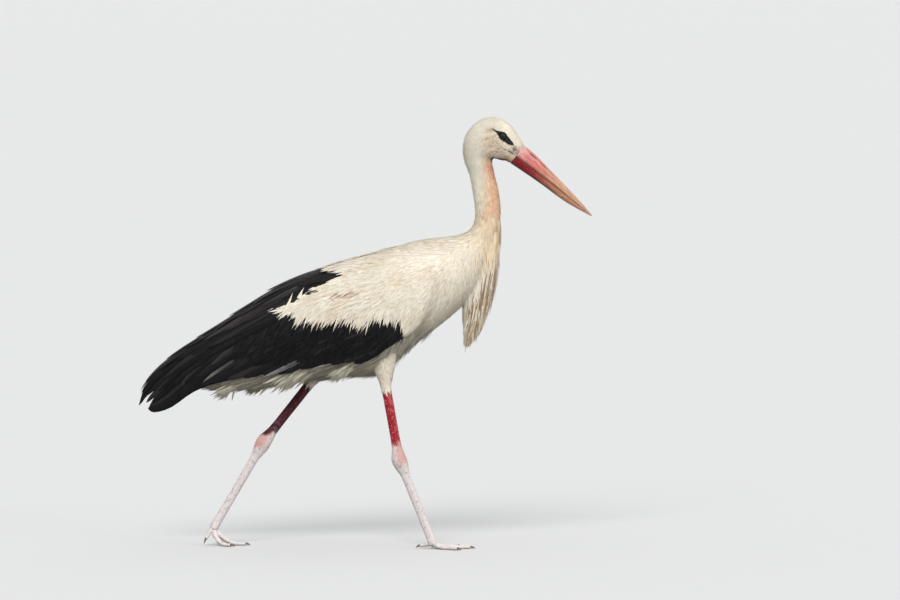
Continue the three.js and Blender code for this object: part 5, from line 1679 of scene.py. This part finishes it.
# ---- The feathers of the belly --------------------------------------------------------
# Long loose down-like feathers under the wings and on the belly, longest under the tail,
# with loose tufts that hang out of the row. The belly's feathers are painted darker as painted
# shade, and the tufts keep their full tone.
belly_coat = Coat(0.3)
a, v = body_form.spread(4300, (14.6, 21.8), (0.27, 0.73), 151)
draw = np.random.default_rng(152)
places = body(a, v)
size = draw.uniform(34, 56, len(a)) * np.interp(a, [14.6, 20, 21.8], [0.9, 1.0, 0.8])
size = np.minimum(size, (22.0 - a) * 62 + 8)
tone = plumage_tone(places, 153, 0.06)
loose = draw.uniform(size=len(a)) ** 4
# Painted shade: the belly's feathers are painted at about two thirds of their tone.
belly_coat.grow(
    body_form, a, v, size * 0.001, size * 0.001 * 0.065, -0.005, 0.0005 + 0.007 * loose, tone * 0.62,
    tone * 0.68, fall=0.12 + draw.normal(size=len(a)) * 0.12, rows=4, camber=0.2, blunt=0.25, taper=0.15,
    bend=draw.normal(size=len(a)) * 0.003, seed=154)
# Tufts that hang out of the row on each side: rib and turn of the middle, spread of each, how
# many, and how long (mm).
for number, (rib, turn, wide, around, count, length) in enumerate((
        (19.05, 0.625, 0.14, 0.012, 70, 42), (17.95, 0.62, 0.1, 0.010, 46, 32),
        (20.7, 0.60, 0.07, 0.014, 44, 28), (18.95, 0.38, 0.16, 0.014, 60, 38),
        (19.9, 0.40, 0.1, 0.012, 40, 30))):
    draw = np.random.default_rng(155 + number)
    a, v = rib + wide * draw.normal(size=count), turn + around * draw.normal(size=count)
    size = length * draw.uniform(0.7, 1.2, count)
    tone = plumage_tone(body(a, v), 156 + number, 0.05)
    belly_coat.grow(
        body_form, a, v, size * 0.001, size * 0.001 * 0.1, -0.001, 0.012 + 0.010 * draw.uniform(size=count),
        tone, tone * 1.06, fall=0.35 + draw.normal(size=count) * 0.2, rows=4, camber=0.2, blunt=0.25,
        taper=0.15, bend=draw.normal(size=count) * 0.003, seed=158 + number)
belly_coat.made("feathers_belly", soft_white, "plumage_white")

# ---- The feathers of the thighs -------------------------------------------------------
# Short dense feathers round each thigh, set like those of the belly, that end in a loose cuff
# over the bare red shin.
thigh_coat = Coat(0.3)
for name, leg in LEGS.items():
    top, end = np.array(leg["thigh"], float), np.array(leg["cuff"], float)

    def thigh(a, v, top=top, end=end, side=leg["side"]):
        """Share a down the thigh and turn v round it: an oval tube that narrows to the cuff."""
        way = (end - top) / np.linalg.norm(end - top)
        deep = np.interp(a, [0, 0.55, 0.85, 1.05], [27, 18, 11.5, 9.5])
        wide = np.interp(a, [0, 0.55, 0.85, 1.05], [21, 15, 10.5, 8.0])
        fore = deep * np.cos(2 * np.pi * v)
        x = top[0] + (end[0] - top[0]) * a - way[1] * fore
        z = top[1] + (end[1] - top[1]) * a + way[0] * fore
        return np.stack([x, side * LEG_SPREAD + wide * np.sin(2 * np.pi * v), z], -1) * 0.001

    thigh_form = Form(thigh, 0.01, out=-1.0)
    a, v = thigh_form.spread(900, (-0.1, 0.92), (0, 1), 161)
    draw = np.random.default_rng(162)
    size = draw.uniform(15, 27, len(a))
    tone = plumage_tone(thigh(a, v), 163, 0.05)
    thigh_coat.grow(
        thigh_form, a, v, size * 0.001, size * 0.001 * 0.12, -0.002, draw.uniform(0.0, 0.0015, len(a)),
        tone * 0.92, tone, fall=draw.normal(size=len(a)) * 0.12, rows=3, camber=0.4, blunt=0.3, taper=0.15,
        seed=164)
thigh_coat.made("feathers_thighs", soft_white, "plumage_white")

# ---- The tail -------------------------------------------------------------------------
# Twelve broad white tail feathers with a shaft each, folded together under the tips of the
# wings: the outer ones lie under the inner ones, and their roots are in the rump.


def fan(a, v):
    """Share a along the tail and share v (-1 to 1) across it: a shallow roof that narrows to its end."""
    half = (27 + 4 * a) * (1 - 0.3 * a ** 6)
    return np.stack([-215 - 137 * a + 0 * v, half * v, 392 - 76 * a - 4 * v ** 2], -1) * 0.001


tail_coat = Coat()
tail_form = Form(fan, 0.01, end=1.0, tube=False)
n = np.array([-5.5, 5.5, -4.5, 4.5, -3.5, 3.5, -2.5, 2.5, -1.5, 1.5, -0.5, 0.5])
path = tail_form.line(np.zeros(12), n * 0.1, 1.0 - 0.012 * np.abs(n), n * 0.14, 10)
tone = np.tile(CREAM, (12, 1)) * np.linspace(0.9, 1, 12)[:, None]
tail_coat.lay(path, np.stack([np.linspace(0.1, 0.9, 12), np.linspace(0, 0.8, 12)], -1), 0.15, 0.012, -0.004,
              np.linspace(-0.002, 0.001, 12), tone * 0.9, tone, columns=8, rows=12, camber=0.15, blunt=0.1,
              taper=0.8, shaft=0.5, patch=0.08, seed=171)
tail_coat.made("feathers_tail", soft_white, "plumage_white", "tail")
